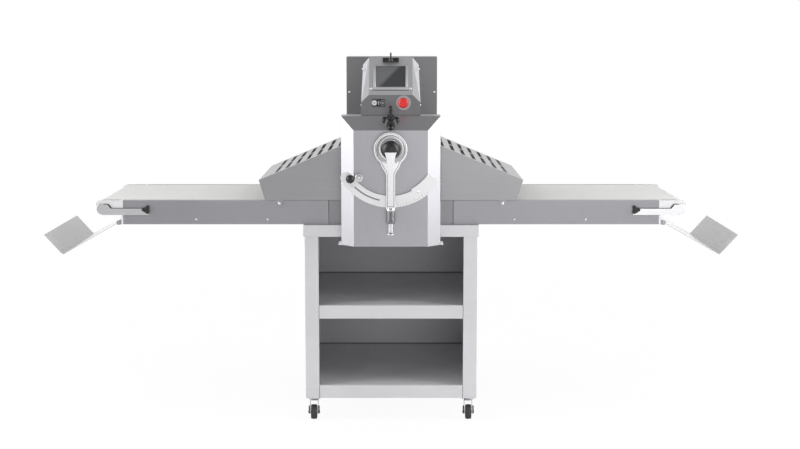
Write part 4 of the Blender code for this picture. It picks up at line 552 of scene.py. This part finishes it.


# Column and side plates
# Brushed sheet casing with 45 degree corners and a sloped panel, on a thick machined plate. Button head
# screws hold the casing at its sides.
COLUMN_SIDE = 0.1945
LIP_START = 0.1950
LIP_DEPTH = 0.004
SCREW_HEIGHTS = (0.86, 1.03, 1.17)
SCREW_INSET = 0.018
column_steel = steel("column_steel", (0.37, 0.37, 0.39), 0.36, grain=(60, 60, 1.5), metallic=0.85)
plate_steel = steel("plate_steel", (0.26, 0.26, 0.27), 0.4, grain=(20, 60, 20), metallic=0.85)
column_low, column_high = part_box("front_housing")
casing = dress("front_housing", column_steel, 0.0008)
# Painted highlight: the casing's lowest 4 mm beside the column gets a near white, nearly matt steel.
lip_highlight_steel = steel("lip_highlight_steel", (0.92, 0.92, 0.93), 0.5, metallic=0.1)
second_look(casing, lip_highlight_steel,
            lambda face: abs(face.center.x) > LIP_START and face.center.z < column_low.z + LIP_DEPTH)
dress("roller_cover", column_steel, 0.0006)
for name in ("front_side_plate", "rear_side_plate", "upper_carriage", "lever_shaft"):
    dress(name, plate_steel)
screw_places = [((side * COLUMN_SIDE, column_high.y - SCREW_INSET, height), (side, 0, 0))
                for side in (-1, 1) for height in SCREW_HEIGHTS]
scatter("column_screws", "front_housing", fastener_zinc, 0.0045, screw_places, socket_screw)


# Quadrant
# Light satin plate with a slot for the end stop. Fine engraved lines mark each of its detents, and a
# socket screw holds its right half.
MARK_COUNT = 12
MARK_START = -7.0
MARK_PITCH = -3.0
MARK_RADIUS = 0.2235
LONG_MARK = 0.0105
SHORT_MARK = 0.0065
sector_steel = steel("sector_steel", (0.71, 0.71, 0.72), 0.34, metallic=0.6, contrast=0.05)
dress("sector_arc", sector_steel, 0.0005)
sector_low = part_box("sector_arc")[0]
shaft_low, shaft_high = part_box("lever_shaft")
pivot_height = (shaft_low.z + shaft_high.z) / 2


def on_sector(radius, degrees):
    """A point on the quadrant's face; the angle is from straight down, positive to the left."""
    angle = math.radians(degrees)
    return Vector((-radius * math.sin(angle), sector_low.y, pivot_height - radius * math.cos(angle)))


def solid_outline(work, front, back):
    """A solid between two outlines of the same length; gives its faces, the front one first."""
    front, back = ([work.verts.new(place) for place in places] for places in (front, back))
    faces = [work.faces.new(front), work.faces.new(back[::-1])]
    for one in range(len(front)):
        two = (one + 1) % len(front)
        faces.append(work.faces.new((front[one], back[one], back[two], front[two])))
    return faces


def engraved_lines(work):
    """Radial detent lines along the rim, every third one longer."""
    for index in range(MARK_COUNT):
        degrees = MARK_START + index * MARK_PITCH
        length = SHORT_MARK if index % 3 else LONG_MARK
        start = on_sector(MARK_RADIUS, degrees)
        along = on_sector(MARK_RADIUS - length, degrees) - start
        across = along.normalized().cross(Vector((0, 1, 0))) * 0.00035
        lift = Vector((0, -0.0001, 0))
        corners = [start - across, start + across, start + along + across, start + along - across]
        solid_outline(work, [corner + lift for corner in corners], [corner - lift for corner in corners])


ink = moulded("engraving_ink", (0.03, 0.03, 0.03), 0.6)
make("sector_marks", "sector_arc", ink, engraved_lines)
scatter("sector_screw", "sector_arc", fastener_zinc, 0.0052,
        [(on_sector(0.197, -33.0), (0, -1, 0))], socket_screw)


# Rear casing and drive
# Taller matt casing at the back, screwed at its front and sides and riveted at its rear; the gear motor
# and the chain sit inside it.
FRONT_SCREW = (0.1860, 1.3023)
RIVET_INSET = 0.014
rear_steel = steel("rear_steel", (0.19, 0.19, 0.195), 0.42, grain=(1.5, 60, 60), metallic=0.8)
dress("rear_housing", rear_steel, 0.0008)
rear_low, rear_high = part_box("rear_housing")
screw_places = [((side * FRONT_SCREW[0], rear_low.y, FRONT_SCREW[1]), (0, -1, 0)) for side in (-1, 1)]
rivet_places = []
for side in (-1, 1):
    for height in spread(rear_low.z, rear_high.z, 4):
        rivet_places.append(((side * (rear_high.x - RIVET_INSET), rear_high.y, height), (0, 1, 0)))
        screw_places.append(((side * rear_high.x, rear_high.y - SCREW_INSET, height), (side, 0, 0)))
scatter("rear_screws", "rear_housing", fastener_zinc, 0.0042, screw_places, socket_screw)
scatter("rear_rivets", "rear_housing", fastener_zinc, 0.0030, rivet_places, rivet)
dress("drive_motor", moulded("motor_enamel", (0.03, 0.045, 0.06), 0.4))
gear_steel = steel("gear_steel", (0.18, 0.18, 0.18), 0.35, grain=(30, 30, 30))
dress("motor_sprocket", gear_steel)
dress("drive_chain", gear_steel)


# Rollers and scrapers
# Ground and chromed laminating rollers, plain turned belt rollers, and thin scraper blades of satin
# sheet that lie against the laminating rollers.
roller_chrome = steel("roller_chrome", (0.78, 0.78, 0.80), 0.12, grain=(60, 4, 60), metallic=1.0)
for name in ("lower_roller", "upper_roller"):
    dress(name, roller_chrome)
turned_steel = steel("turned_steel", (0.55, 0.55, 0.57), 0.28, grain=(80, 6, 80), metallic=0.95)
for name in ("left_drive_roller", "right_drive_roller", "left_end_roller", "right_end_roller"):
    dress(name, turned_steel)
blade_steel = steel("blade_steel", (0.6, 0.6, 0.62), 0.3)
for name in ("upper_scraper_left", "upper_scraper_right", "lower_scraper_left", "lower_scraper_right"):
    dress(name, blade_steel)


# Tables, guards and catch pans
# Satin stainless sheet: folded side panels with brighter end brackets, slotted guards on pivot tabs and
# hinged catch pans. Socket screws close each guard's pivot and hold the table panels.
EAR_START = 1.0735
HOOK_START = 1.0830
HOOK_TOP = 0.830
GUARD_PIVOTS = ((0.446, 0.886),)
PANEL_SCREWS = ((0.494, 0.820), (0.78, 0.820))
table_steel = steel("table_steel", (0.31, 0.31, 0.33), 0.38, grain=(1.2, 60, 160), metallic=0.8)
bracket_steel = steel("bracket_steel", (0.74, 0.74, 0.75), 0.4, grain=(1.2, 60, 160), metallic=0.6)
guard_steel = steel("guard_steel", (0.32, 0.32, 0.33), 0.34, grain=(1.2, 60, 160), metallic=0.8)
pan_steel = steel("pan_steel", (0.46, 0.46, 0.465), 0.4, grain=(60, 1.5, 60), metallic=0.7)
pan_flat_light = steel("pan_flat_light", (0.70, 0.70, 0.70), 0.35, grain=(60, 1.5, 60), metallic=0.6, contrast=0.04)
for side, sign in (("left_", -1), ("right_", 1)):
    table = dress(side + "table_frame", table_steel, 0.0005)
    second_look(table, bracket_steel, lambda face: abs(face.center.x) > EAR_START
                and (face.center.z > HOOK_TOP or abs(face.center.x) < HOOK_START), sign * EAR_START)
    dress(side + "guard", guard_steel, 0.0004, smooth_deg=12)
    pan = dress(side + "catch_pan", pan_steel, 0.0004, smooth_deg=12)
    # Painted light: the pans' flat faces take a lighter copy of the pan steel.
    second_look(pan, pan_flat_light, lambda face: abs(face.normal.z) > 0.8)
    for piece, spots, size in (("guard", GUARD_PIVOTS, 0.0062), ("table", PANEL_SCREWS, 0.0042)):
        node = side + ("guard" if piece == "guard" else "table_frame")
        low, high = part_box(node)
        places = [((sign * across, y, height), (0, facing, 0)) for across, height in spots
                  for y, facing in ((low.y, -1), (high.y, 1))]
        scatter(side + piece + "_screws", node, fastener_zinc, size, places, socket_screw)


# Belts
# White woven belt with a smooth coated face, cut edges and a finger joint across it. Each one is a round
# cornered loop about the drive roller and the end roller.
BELT_ARC_STEPS = 40
BELT_END_RADIUS = 0.0275
BELT_THICK = 0.0022
BELT_EDGE = 0.0005
JOINT_TEETH = 36
JOINT_X = 0.78
JOINT_INSET = 0.002
JOINT_REACH = 0.018


def belt_cloth():
    """Off-white coated cloth: a fine plain weave under faint clouds."""
    made, shader, add, join = new_material("belt_cloth")
    place = add("TexCoord").outputs["Object"]
    warp, weft = (add("TexWave", [(0, place)], Scale=160.0, Distortion=0.4, bands_direction=way)
                  for way in "XY")
    weave = add("Math", [(0, warp.outputs["Fac"]), (1, weft.outputs["Fac"])], operation="MULTIPLY")
    cloud = add("TexNoise", [(0, place)], Scale=5.0, Detail=4.0)
    shader.inputs["Roughness"].default_value = 0.62
    dents = add("Bump", [("Height", weave.outputs[0])], Strength=0.12, Distance=0.0006)
    join(Base_Color=two_tone(add, cloud.outputs["Fac"], (0.55, 0.55, 0.545), (0.63, 0.63, 0.62)),
         Normal=dents.outputs["Normal"])
    return made


def belt_form(low, high, sign):
    """The closed loop with its cut edges slightly rounded."""
    radius, edge = BELT_END_RADIUS, BELT_EDGE
    near, far = sorted((abs(low.x), abs(high.x)))
    outer, inner = [], []
    for centre_x, way in ((sign * (near + radius), -1), (sign * (far - radius), 1)):
        for step in range(BELT_ARC_STEPS + 1):
            angle = math.pi * (step / BELT_ARC_STEPS - 0.5) * -way
            reach_x, reach_z = math.cos(angle) * way * sign, math.sin(angle)
            for outline, reach in ((outer, radius), (inner, radius - BELT_THICK)):
                outline.append(Vector((centre_x + reach * reach_x, 0, high.z - radius + reach * reach_z)))

    def fill(work):
        loops = []
        for y, outline, pull in ((low.y, outer, edge), (low.y + edge, outer, 0), (high.y - edge, outer, 0),
                                 (high.y, outer, edge), (high.y, inner, 0), (low.y, inner, 0)):
            loops.append([work.verts.new(place.lerp(mate, pull / BELT_THICK) + Vector((0, y, 0)))
                          for place, mate in zip(outline, inner)])
        bridge(work, loops + loops[:1])

    return fill


def belt_joint(work, middle_x, low, high):
    """Finger joint: a fine zigzag line pressed across the belt's top."""
    line = []
    for step in range(JOINT_TEETH + 1):
        y = low.y + JOINT_INSET + (high.y - low.y - 2 * JOINT_INSET) * step / JOINT_TEETH
        line.append((middle_x + (JOINT_REACH if step % 2 else -JOINT_REACH), y))
    ribs = [[work.verts.new((x + shift, y, high.z + rise)) for x, y in line]
            for shift, rise in ((-0.0005, -0.0002), (0.0005, 0.00012), (0.0015, -0.0002))]
    for lower, upper in zip(ribs, ribs[1:] + ribs[:1]):
        for one in range(JOINT_TEETH):
            work.faces.new((lower[one], lower[one + 1], upper[one + 1], upper[one]))
    for end in (0, -1):
        work.faces.new([rib[end] for rib in ribs])


cloth = belt_cloth()
for side, sign in (("left_", -1), ("right_", 1)):
    low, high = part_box(side + "belt")
    make(side + "belt_loop", side + "belt", cloth, belt_form(low, high, sign), instead=True)
    make(side + "belt_joint", side + "belt", cloth, lambda work: belt_joint(work, sign * JOINT_X, low, high))


# Gap lever, end stop and tension levers
# Bright polished steel. The forged lever has a raised rim round a grey border, painted shade for a sunk
# recess, and a domed ring in its eye in darker steel, painted shade for the dish; its sleeve has a dark
# diamond knurl. The tension levers are flat bar with black star grips, with dark strips of painted shade
# behind their upper edges.
RIM_WIDTH = 0.0028
BORDER_WIDTH = 0.0024
RIM_RISE = 0.0009
RING_STEPS = 96
ROUND_STEPS = 64
FACE_SET_BACK = 0.0067
KNURL_ROWS = 26
KNURL_TEETH = 30
KNURL_RADIUS = 0.0165
KNURL_DEPTH = 0.0010
SLEEVE_BORE = 0.0099
GRIP_LOBES = 3
GRIP_STEPS = 60
GRIP_RADIUS = 0.0145
GRIP_WAVE = 0.0040
GRIP_X = 0.979
GRIP_Z = 0.860
bright_chrome = steel("bright_chrome", (0.70, 0.70, 0.715), 0.20, grain=(8, 8, 8), metallic=0.95,
                      contrast=0.03)
recess_shade_steel = steel("recess_shade_steel", (0.30, 0.30, 0.31), 0.40, grain=(30, 30, 30), metallic=0.8)
dress("gap_lever", bright_chrome, 0.0012)
hub_low, hub_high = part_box("hub_cap")
eye = Vector((0, hub_high.y, (hub_low.z + hub_high.z) / 2))
lever_low, lever_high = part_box("gap_lever")
lever_face = hub_high.y - FACE_SET_BACK


def inset_outline(points, inset):
    """The outline moved inwards by the same amount along its whole length."""
    moved = []
    count = len(points)
    for index in range(count):
        before, here, after = points[index - 1], points[index], points[(index + 1) % count]
        into = (here - before).normalized()
        out = (after - here).normalized()
        normal = (Vector((-into.y, into.x)) + Vector((-out.y, out.x))).normalized()
        moved.append(here + normal * (inset / max(normal.dot(Vector((-into.y, into.x))), 0.5)))
    return moved


def lever_outline():
    """Round eye drawn tangentially into the straight arm, anticlockwise as seen from the front."""
    radius = (lever_high.x - lever_low.x) / 2
    half, foot, neck, turn = 0.0175, -0.2285, -0.100, math.radians(50)
    points = [Vector((radius * math.cos(-turn + (math.pi + 2 * turn) * step / 48),
                      radius * math.sin(-turn + (math.pi + 2 * turn) * step / 48))) for step in range(49)]
    start_x, start_z = radius * math.cos(turn), -radius * math.sin(turn)
    left = [Vector((-half - (start_x - half) * width, start_z + (neck - start_z) * down))
            for down, width in ((0.45, 0.60), (0.75, 0.18), (1.0, 0.0))]
    return points + left + [Vector((-half, foot)), Vector((half, foot))] + [
        Vector((-point.x, point.y)) for point in left[::-1]]


def lever_band(first, last, rise):
    """A flat band on the lever's face that follows its outline between two insets."""

    def fill(work):
        outline = lever_outline()
        loops = []
        for inset, height in ((first, -0.0003), (first, rise), (last, rise), (last, -0.0003)):
            loops.append([work.verts.new((point.x, lever_face - height, eye.z + point.y))
                          for point in inset_outline(outline, inset)])
        bridge(work, loops + loops[:1])

    return fill


def eye_ring(work):
    """Softly domed ring that fills the eye's dish, between the hub cap and the lever's rim."""
    inner, outer = 0.0354, 0.0557
    profile = [(inner, -0.0002, 0)]
    for step in range(17):
        along = step / 16
        profile.append((inner + (outer - inner) * along, 0.0034 + 0.0021 * math.sin(math.pi * along), 0))
    profile.append((outer, -0.0002, 0))
    rings(work, profile, RING_STEPS, hollow=True)
    aimed(work, (eye.x, lever_face + 0.006, eye.z), (0, -1, 0))


make("lever_rim", "gap_lever", bright_chrome, lever_band(0.0013, 0.0013 + RIM_WIDTH, RIM_RISE))
# Painted shade: a grey band inside the rim stands for the shade of the lever's sunk recess.
make("lever_border", "gap_lever", recess_shade_steel,
     lever_band(0.0013 + RIM_WIDTH, 0.0013 + RIM_WIDTH + BORDER_WIDTH, 0.0002))
# Painted shade: the eye ring is a darker copy of the chrome, for the dish's shade.
eye_ring_shade_steel = steel("eye_ring_shade_steel", (0.42, 0.42, 0.43), 0.22, grain=(8, 8, 8), metallic=0.95, contrast=0.05)
make("eye_ring", "gap_lever", eye_ring_shade_steel, eye_ring)
dress("stop_slider", bright_chrome, 0.0006)
black_plastic = moulded("black_plastic", (0.007, 0.007, 0.008), 0.36)
dress("hub_cap", black_plastic, 0.0008)


def knurled_sleeve(work):
    """Turned sleeve: a diamond knurl on its grip, then a plain collar with a chamfer."""
    low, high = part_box("lever_sleeve")
    centre = (low + high) / 2
    collar = (high.x - low.x) / 2
    split = low.z + 0.012
    steps = KNURL_TEETH * 4
    loops = []

    def ring(height, reach, tooth=0.0, phase=0):
        loop = []
        for step in range(steps):
            angle = 2 * math.pi * step / steps
            here = reach - tooth * abs((step / 4 + phase / 2) % 1 - 0.5) * 2
            place = Vector((centre.x + here * math.cos(angle), centre.y + here * math.sin(angle), height))
            loop.append(work.verts.new(place))
        loops.append(loop)

    for height, reach in ((low.z, SLEEVE_BORE), (low.z, collar * 0.86), (split - 0.002, collar),
                          (split, collar * 0.97), (split, KNURL_RADIUS * 0.93)):
        ring(height, reach)
    for row in range(KNURL_ROWS + 1):
        height = split + 0.002 + (high.z - split - 0.004) * row / KNURL_ROWS
        ring(height, KNURL_RADIUS, KNURL_DEPTH, row % 2)
    ring(high.z, KNURL_RADIUS * 0.93)
    ring(high.z, SLEEVE_BORE)
    bridge(work, loops + loops[:1])


knurl_steel = steel("knurl_steel", (0.20, 0.20, 0.21), 0.35, grain=(20, 20, 20), metallic=0.8)
make("sleeve_knurl", "lever_sleeve", knurl_steel, knurled_sleeve, instead=True, smooth_deg=25)


def ball_grip(work):
    """Ball with a fine parting line and a short neck at its stem."""
    low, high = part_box("stop_ball")
    centre = (low + high) / 2
    radius = (high.x - low.x) / 2
    depth = high.y - low.y
    profile = [(radius * 0.36, 0.0, 0), (radius * 0.42, depth * 0.01, 0)]
    base = depth - radius
    for step in range(1, 40):
        angle = math.radians(-66 + 156 * step / 40)
        line = 0.988 if abs(math.degrees(angle)) < 1.6 else 1.0
        profile.append((radius * line * math.cos(angle), base + radius * math.sin(angle), 0))
    profile.append((radius * 0.02, depth, 0))
    rings(work, profile, 48)
    aimed(work, (centre.x, high.y, centre.z), (0, -1, 0))


make("stop_knob", "stop_ball", black_plastic, ball_grip, instead=True)


def turned_ring(name, like, look, centre, inner, outer, thick):
    """A piece: a flat ring with rounded rims, standing on a surface that faces the front."""
    soft = min(thick, outer - inner) * 0.3
    profile = [(inner, 0.0, 0), (inner, thick - soft, 0), (inner + soft, thick, 0), (outer - soft, thick, 0),
               (outer, thick - soft, 0), (outer, 0.0, 0)]

    def fill(work):
        rings(work, profile, ROUND_STEPS, hollow=True)
        aimed(work, centre, (0, -1, 0))

    make(name, like, look, fill)


def nut_front():
    """The foremost point of the clamp nut, read from the end stop's own solid."""
    node = frame["nodes"]["stop_slider"]
    reach = 0.0125
    near = []
    for vertex in node.data.vertices:
        place = node.matrix_world @ vertex.co
        if (place.x - nut_centre.x) ** 2 + (place.z - nut_centre.z) ** 2 < reach ** 2:
            near.append(place.y)
    return min(near)


slider_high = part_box("stop_slider")[1]
nut_centre = Vector((slider_high.x - 0.0120, 0, slider_high.z - 0.0095))
turned_ring("stop_washer", "stop_slider", bright_chrome,
            (nut_centre.x, sector_low.y - 0.0034, nut_centre.z), 0.0118, 0.0150, 0.0020)
# Painted shade: a thin dark ring stands for the shade in the clamp nut's groove.
turned_ring("stop_groove", "stop_slider", recess_shade_steel,
            (nut_centre.x, nut_front() + 0.0003, nut_centre.z), 0.0056, 0.0078, 0.0005)


def star_grip(side, sign):
    """Three lobed grip on the lever's tip, one at the front and one at the rear."""
    low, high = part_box(side + "tension_lever")

    def fill(work):
        for y, way in ((low.y + 0.0030, -1), (high.y - 0.0030, 1)):
            loops = []
            for inset, out in ((0.0012, 0.0), (0.0, 0.0010), (0.0, 0.0085), (0.0012, 0.0110),
                               (0.0042, 0.0122), (0.0085, 0.0126)):
                loop = []
                for step in range(GRIP_STEPS):
                    angle = 2 * math.pi * step / GRIP_STEPS
                    wave = GRIP_WAVE * math.cos(GRIP_LOBES * (angle - math.radians(60)))
                    reach = GRIP_RADIUS + wave - inset
                    loop.append(work.verts.new((sign * (GRIP_X - reach * math.cos(angle)), y + way * out,
                                                GRIP_Z + reach * math.sin(angle))))
                loops.append(loop)
            bridge(work, loops, caps=True)

    return fill


def glide_strip(side, sign):
    """Dark strip of painted shade behind the lever's upper edge, for the gap where it slides on the table's
    bracket.
    """
    low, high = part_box(side + "tension_lever")
    far, top = max(abs(low.x), abs(high.x)), high.z
    lower = [(far - 0.0100, top - 0.0026), (far - 0.0430, top - 0.0026), (far - 0.0570, top - 0.0190),
             (far - 0.1900, top - 0.0190)]
    upper = [(far - 0.0120, top - 0.0004), (far - 0.0460, top - 0.0004), (far - 0.0600, top - 0.0172),
             (far - 0.1900, top - 0.0172)]

    def fill(work):
        for y_low, y_high in ((low.y + 0.0022, low.y + 0.0048), (high.y - 0.0048, high.y - 0.0022)):
            loop = lower + upper[::-1]
            front = [work.verts.new((sign * x, y_low, z)) for x, z in loop]
            back = [work.verts.new((sign * x, y_high, z)) for x, z in loop]
            count = len(lower)
            for step in range(count - 1):
                here, mate = step, 2 * count - 1 - step
                work.faces.new((front[here], front[here + 1], front[mate - 1], front[mate]))
                work.faces.new((back[here], back[here + 1], back[mate - 1], back[mate]))
            for step in range(len(loop)):
                after = (step + 1) % len(loop)
                work.faces.new((front[step], back[step], back[after], front[after]))

    return fill


for side, sign in (("left_", -1), ("right_", 1)):
    dress(side + "tension_lever", bright_chrome, 0.0008)
    make(side + "glide_strip", side + "tension_lever", black_plastic, glide_strip(side, sign))
    make(side + "star_grip", side + "tension_lever", black_plastic, star_grip(side, sign))


# Control head
# Small brushed sheet housing: its window has a folded frame with a screwed sill, the switches sit in a
# black plate, and the red mushroom button stands on a round washer. Screws hold it at its sides.
FRAME_BAR = 0.0095
FRAME_RISE = 0.0016
BAR_SINK = 0.0004
SILL_TOP = 1.3517
SILL_HEIGHT = 0.0090
SILL_HALF = 0.0830
GROOVE_HALF = 0.0705
SILL_SCREW_X = 0.0770
SIDE_SCREWS = ((0.1100, 1.4213), (0.1155, 1.2806))
SIDE_SCREW_Y = -0.33
SWITCH_REACH = 0.017
head_steel = steel("head_steel", (0.345, 0.345, 0.36), 0.48, grain=(60, 60, 1.5), metallic=0.55)
panel_grey = steel("panel_grey", (0.155, 0.153, 0.160), 0.42, grain=(60, 60, 1.5), metallic=0.6)
frame_steel = steel("frame_steel", (0.56, 0.56, 0.57), 0.3, grain=(60, 60, 1.5), metallic=0.8)
head = dress("control_head", head_steel, 0.0008, smooth_deg=12)
head_low, head_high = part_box("control_head")
second_look(head, panel_grey, lambda face: face.center.y < head_low.y + 0.0006)
window_low, window_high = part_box("control_window")
crease = Vector((0, head_low.y, head_low.z + 0.0807))
face_lean = 0.055 / (head_high.z - crease.z)


def on_face(x, z, rise=0.0):
    """A point before the head's leaning face."""
    return Vector((x, crease.y + (z - crease.z) * face_lean - rise, z))


def face_bars(bars, rise=FRAME_RISE, edge=0.0005):
    """Flat bars on the leaning face, each given as (x_low, x_high, z_low, z_high)."""

    def fill(work):
        for x_low, x_high, z_low, z_high in bars:
            corners = ((x_low, z_low), (x_high, z_low), (x_high, z_high), (x_low, z_high))
            faces = solid_outline(work, [on_face(x, z, rise) for x, z in corners],
                                  [on_face(x, z, -BAR_SINK) for x, z in corners])
            bmesh.ops.bevel(work, geom=list(faces[0].edges), offset=edge, segments=2, profile=0.5,
                            affect="EDGES", clamp_overlap=True)

    return fill


half = (window_high.x - window_low.x) / 2 - 0.0047
sides = [tuple(sorted((side * half, side * (half + FRAME_BAR)))) + (SILL_TOP, window_high.z - 0.0015)
         for side in (-1, 1)]
make("window_frame", "control_head", frame_steel,
     face_bars(sides + [(-SILL_HALF, SILL_HALF, SILL_TOP - SILL_HEIGHT, SILL_TOP)]))
shadow_gap = moulded("shadow_gap", (0.05, 0.05, 0.055), 0.6)
# Painted shadow: a dark strip under the sill stands for its shade.
make("sill_gasket", "control_head", shadow_gap,
     face_bars([(-GROOVE_HALF, GROOVE_HALF, SILL_TOP - SILL_HEIGHT - 0.0034, SILL_TOP - SILL_HEIGHT)],
               rise=0.0006, edge=0.0002))
facing = Vector((0, -1, face_lean)).normalized()
scatter("sill_screws", "control_head", fastener_zinc, 0.0038,
        [(on_face(side * SILL_SCREW_X, SILL_TOP - SILL_HEIGHT / 2, FRAME_RISE), facing) for side in (-1, 1)],
        socket_screw)
scatter("head_screws", "control_head", fastener_zinc, 0.0042,
        [((side * x, SIDE_SCREW_Y, z), (side, 0, 0)) for side in (-1, 1) for x, z in SIDE_SCREWS],
        socket_screw)


def smoked_glass_with_reflection():
    """Smoked pane: near black glass with a painted reflection, a soft lighter half towards one upper corner.
    """
    made, shader, add, join = new_material("smoked_glass_with_reflection")
    place = add("TexCoord").outputs["Object"]
    parts = add("SeparateXYZ", [(0, place)])
    reflection_slant = add("Math", [(0, parts.outputs["Z"]), (1, parts.outputs["X"])], operation="SUBTRACT")
    share = add("MapRange", [("Value", reflection_slant.outputs[0])], interpolation_type="SMOOTHSTEP",
                From_Min=window_low.z + 0.038, From_Max=window_low.z + 0.062)
    haze = add("TexNoise", [(0, place)], Scale=60.0, Detail=3.0)
    gloss = add("MapRange", [("Value", haze.outputs["Fac"])], To_Min=0.08, To_Max=0.16)
    join(Base_Color=two_tone(add, share.outputs[0], (0.035, 0.036, 0.038), (0.110, 0.112, 0.114)),
         Roughness=gloss.outputs[0])
    return made


dress("control_window", smoked_glass_with_reflection(), 0.0004)
dress("switch_plate", black_plastic, 0.0006)
plate_low, plate_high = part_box("switch_plate")
switch_x = (plate_low.x + plate_high.x) / 2
switch_z = (plate_low.z + plate_high.z) / 2


def push_cap(work, name, radius=0.0085, dish=0.0006):
    """Round push cap with a rounded rim and a slightly dished front, back to its collar."""
    low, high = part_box(name)
    depth = high.y - low.y
    collar = (high.x - low.x) / 2
    profile = [(collar, 0.0, 0), (collar, 0.0036, 0), (radius, 0.0036, 0), (radius, depth - 0.0012, 0),
               (radius - 0.0004, depth - 0.0003, 0), (radius - 0.0013, depth, 0),
               (radius - 0.0024, depth - dish * 0.6, 0), (radius * 0.4, depth - dish, 0)]
    rings(work, profile, ROUND_STEPS)
    aimed(work, ((low.x + high.x) / 2, high.y, (low.z + high.z) / 2), (0, -1, 0))


light_button = moulded("light_button", (0.72, 0.72, 0.72), 0.35)
make("on_cap", "on_button", light_button, lambda work: push_cap(work, "on_button"), instead=True)
make("off_cap", "off_button", black_plastic, lambda work: push_cap(work, "off_button"), instead=True)


grey_mark = moulded("grey_mark", (0.30, 0.30, 0.31), 0.4)
white_mark = moulded("white_mark", (0.80, 0.80, 0.80), 0.4)
front = plate_low.y
on_x, off_x = switch_x - SWITCH_REACH, switch_x + SWITCH_REACH
turned_ring("on_bezel", "switch_plate", grey_mark, (on_x, front + 0.0002, switch_z), 0.0091, 0.0112, 0.0014)
turned_ring("off_bezel", "switch_plate", grey_mark, (off_x, front + 0.0002, switch_z), 0.0091, 0.0108, 0.0014)
turned_ring("off_mark", "off_button", white_mark,
            (off_x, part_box("off_button")[0].y + 0.0004, switch_z), 0.0034, 0.0044, 0.0005)
turned_ring("on_mark", "on_button", black_plastic,
            (on_x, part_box("on_button")[0].y + 0.0004, switch_z), 0.0026, 0.0040, 0.0005)


def line_mark(work):
    """The I that marks the on side, a short raised bar between the buttons."""
    add_box(work, (switch_x - 0.0009, front - 0.0005, switch_z - 0.0065),
            (switch_x + 0.0009, front + 0.0002, switch_z + 0.0065))


make("on_line", "switch_plate", white_mark, line_mark)


def mushroom(work):
    """Mushroom head with a rolled rim, a shallow dished top and a finger groove, on its stem."""
    low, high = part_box("stop_button")
    radius = (high.x - low.x) / 2
    depth = high.y - low.y
    stem, collar = 0.011, 0.013
    base = high.y - head_low.y
    rim = base + 0.0172
    profile = [(collar, 0.0, 0), (collar, base - 0.0025, 0), (stem, base - 0.0025, 0),
               (stem, base + 0.0140, 0), (radius - 0.0020, base + 0.0142, 0),
               (radius - 0.0006, base + 0.0152, 0), (radius, rim, 0)]
    for step in range(1, 13):
        angle = math.radians(90 * step / 12)
        profile.append((radius - 0.0105 * (1 - math.cos(angle)), rim + (depth - rim) * math.sin(angle), 0))
    profile += [(radius * 0.36, depth - 0.0004, 0), (radius * 0.30, depth - 0.0011, 0),
                (radius * 0.12, depth - 0.0014, 0)]
    rings(work, profile, ROUND_STEPS)
    aimed(work, ((low.x + high.x) / 2, high.y, (low.z + high.z) / 2), (0, -1, 0))


red_plastic = moulded("red_button", (0.60, 0.014, 0.014), 0.3)
make("stop_mushroom", "stop_button", red_plastic, mushroom, instead=True)
stop_low, stop_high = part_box("stop_button")
stop_seat = ((stop_low.x + stop_high.x) / 2, head_low.y + 0.0002, (stop_low.z + stop_high.z) / 2)
turned_ring("legend_ring", "control_head", head_steel, stop_seat, 0.0118, 0.0285, 0.0012)
turned_ring("stop_collar", "control_head", black_plastic, stop_seat, 0.0114, 0.0150, 0.0040)


# Small joysticks
# Moulded black: the upper one stands on a ledge at the window's head, the lower one on the sloped panel
# in a rubber boot with rolled folds.
FOLD_COUNT = 4
FOLD_STEPS = 8
FOLD_DEPTH = 0.0012
BELLOWS_FOOT = 0.0255
BELLOWS_TOP = 0.0145
BELLOWS_HEIGHT = 0.034
BELLOWS_STEPS = 48
for name in ("top_joystick_base", "front_joystick_boot"):
    dress(name, black_plastic, 0.0004)
for name in ("top_joystick_stick", "front_joystick_stick"):
    dress(name, black_plastic)


def bellows(work):
    """Rubber folds that narrow upwards, turned round the sloped panel's normal."""
    section = []
    for step in range(FOLD_COUNT * FOLD_STEPS + 1):
        share = step / (FOLD_COUNT * FOLD_STEPS)
        swell = FOLD_DEPTH * math.cos(math.tau * FOLD_COUNT * share)
        radius = BELLOWS_FOOT + (BELLOWS_TOP - BELLOWS_FOOT) * share + swell
        section.append((radius, BELLOWS_HEIGHT * share, 0))
    rings(work, section, BELLOWS_STEPS)
    aimed(work, stick_seat, slope_normal)


housing = frame["nodes"]["front_housing"].data
slope = [face for face in housing.polygons
         if face.normal.y < -0.3 and face.normal.z > 0.3 and abs(face.normal.x) < 0.01]
slope_normal = slope[0].normal.copy()
slope_places = [housing.vertices[index].co for face in slope for index in face.vertices]
stick_seat = Vector((0, *((min(part) + max(part)) / 2 for part in list(zip(*slope_places))[1:])))
make("front_joystick_bellows", "front_joystick_boot", black_plastic, bellows)
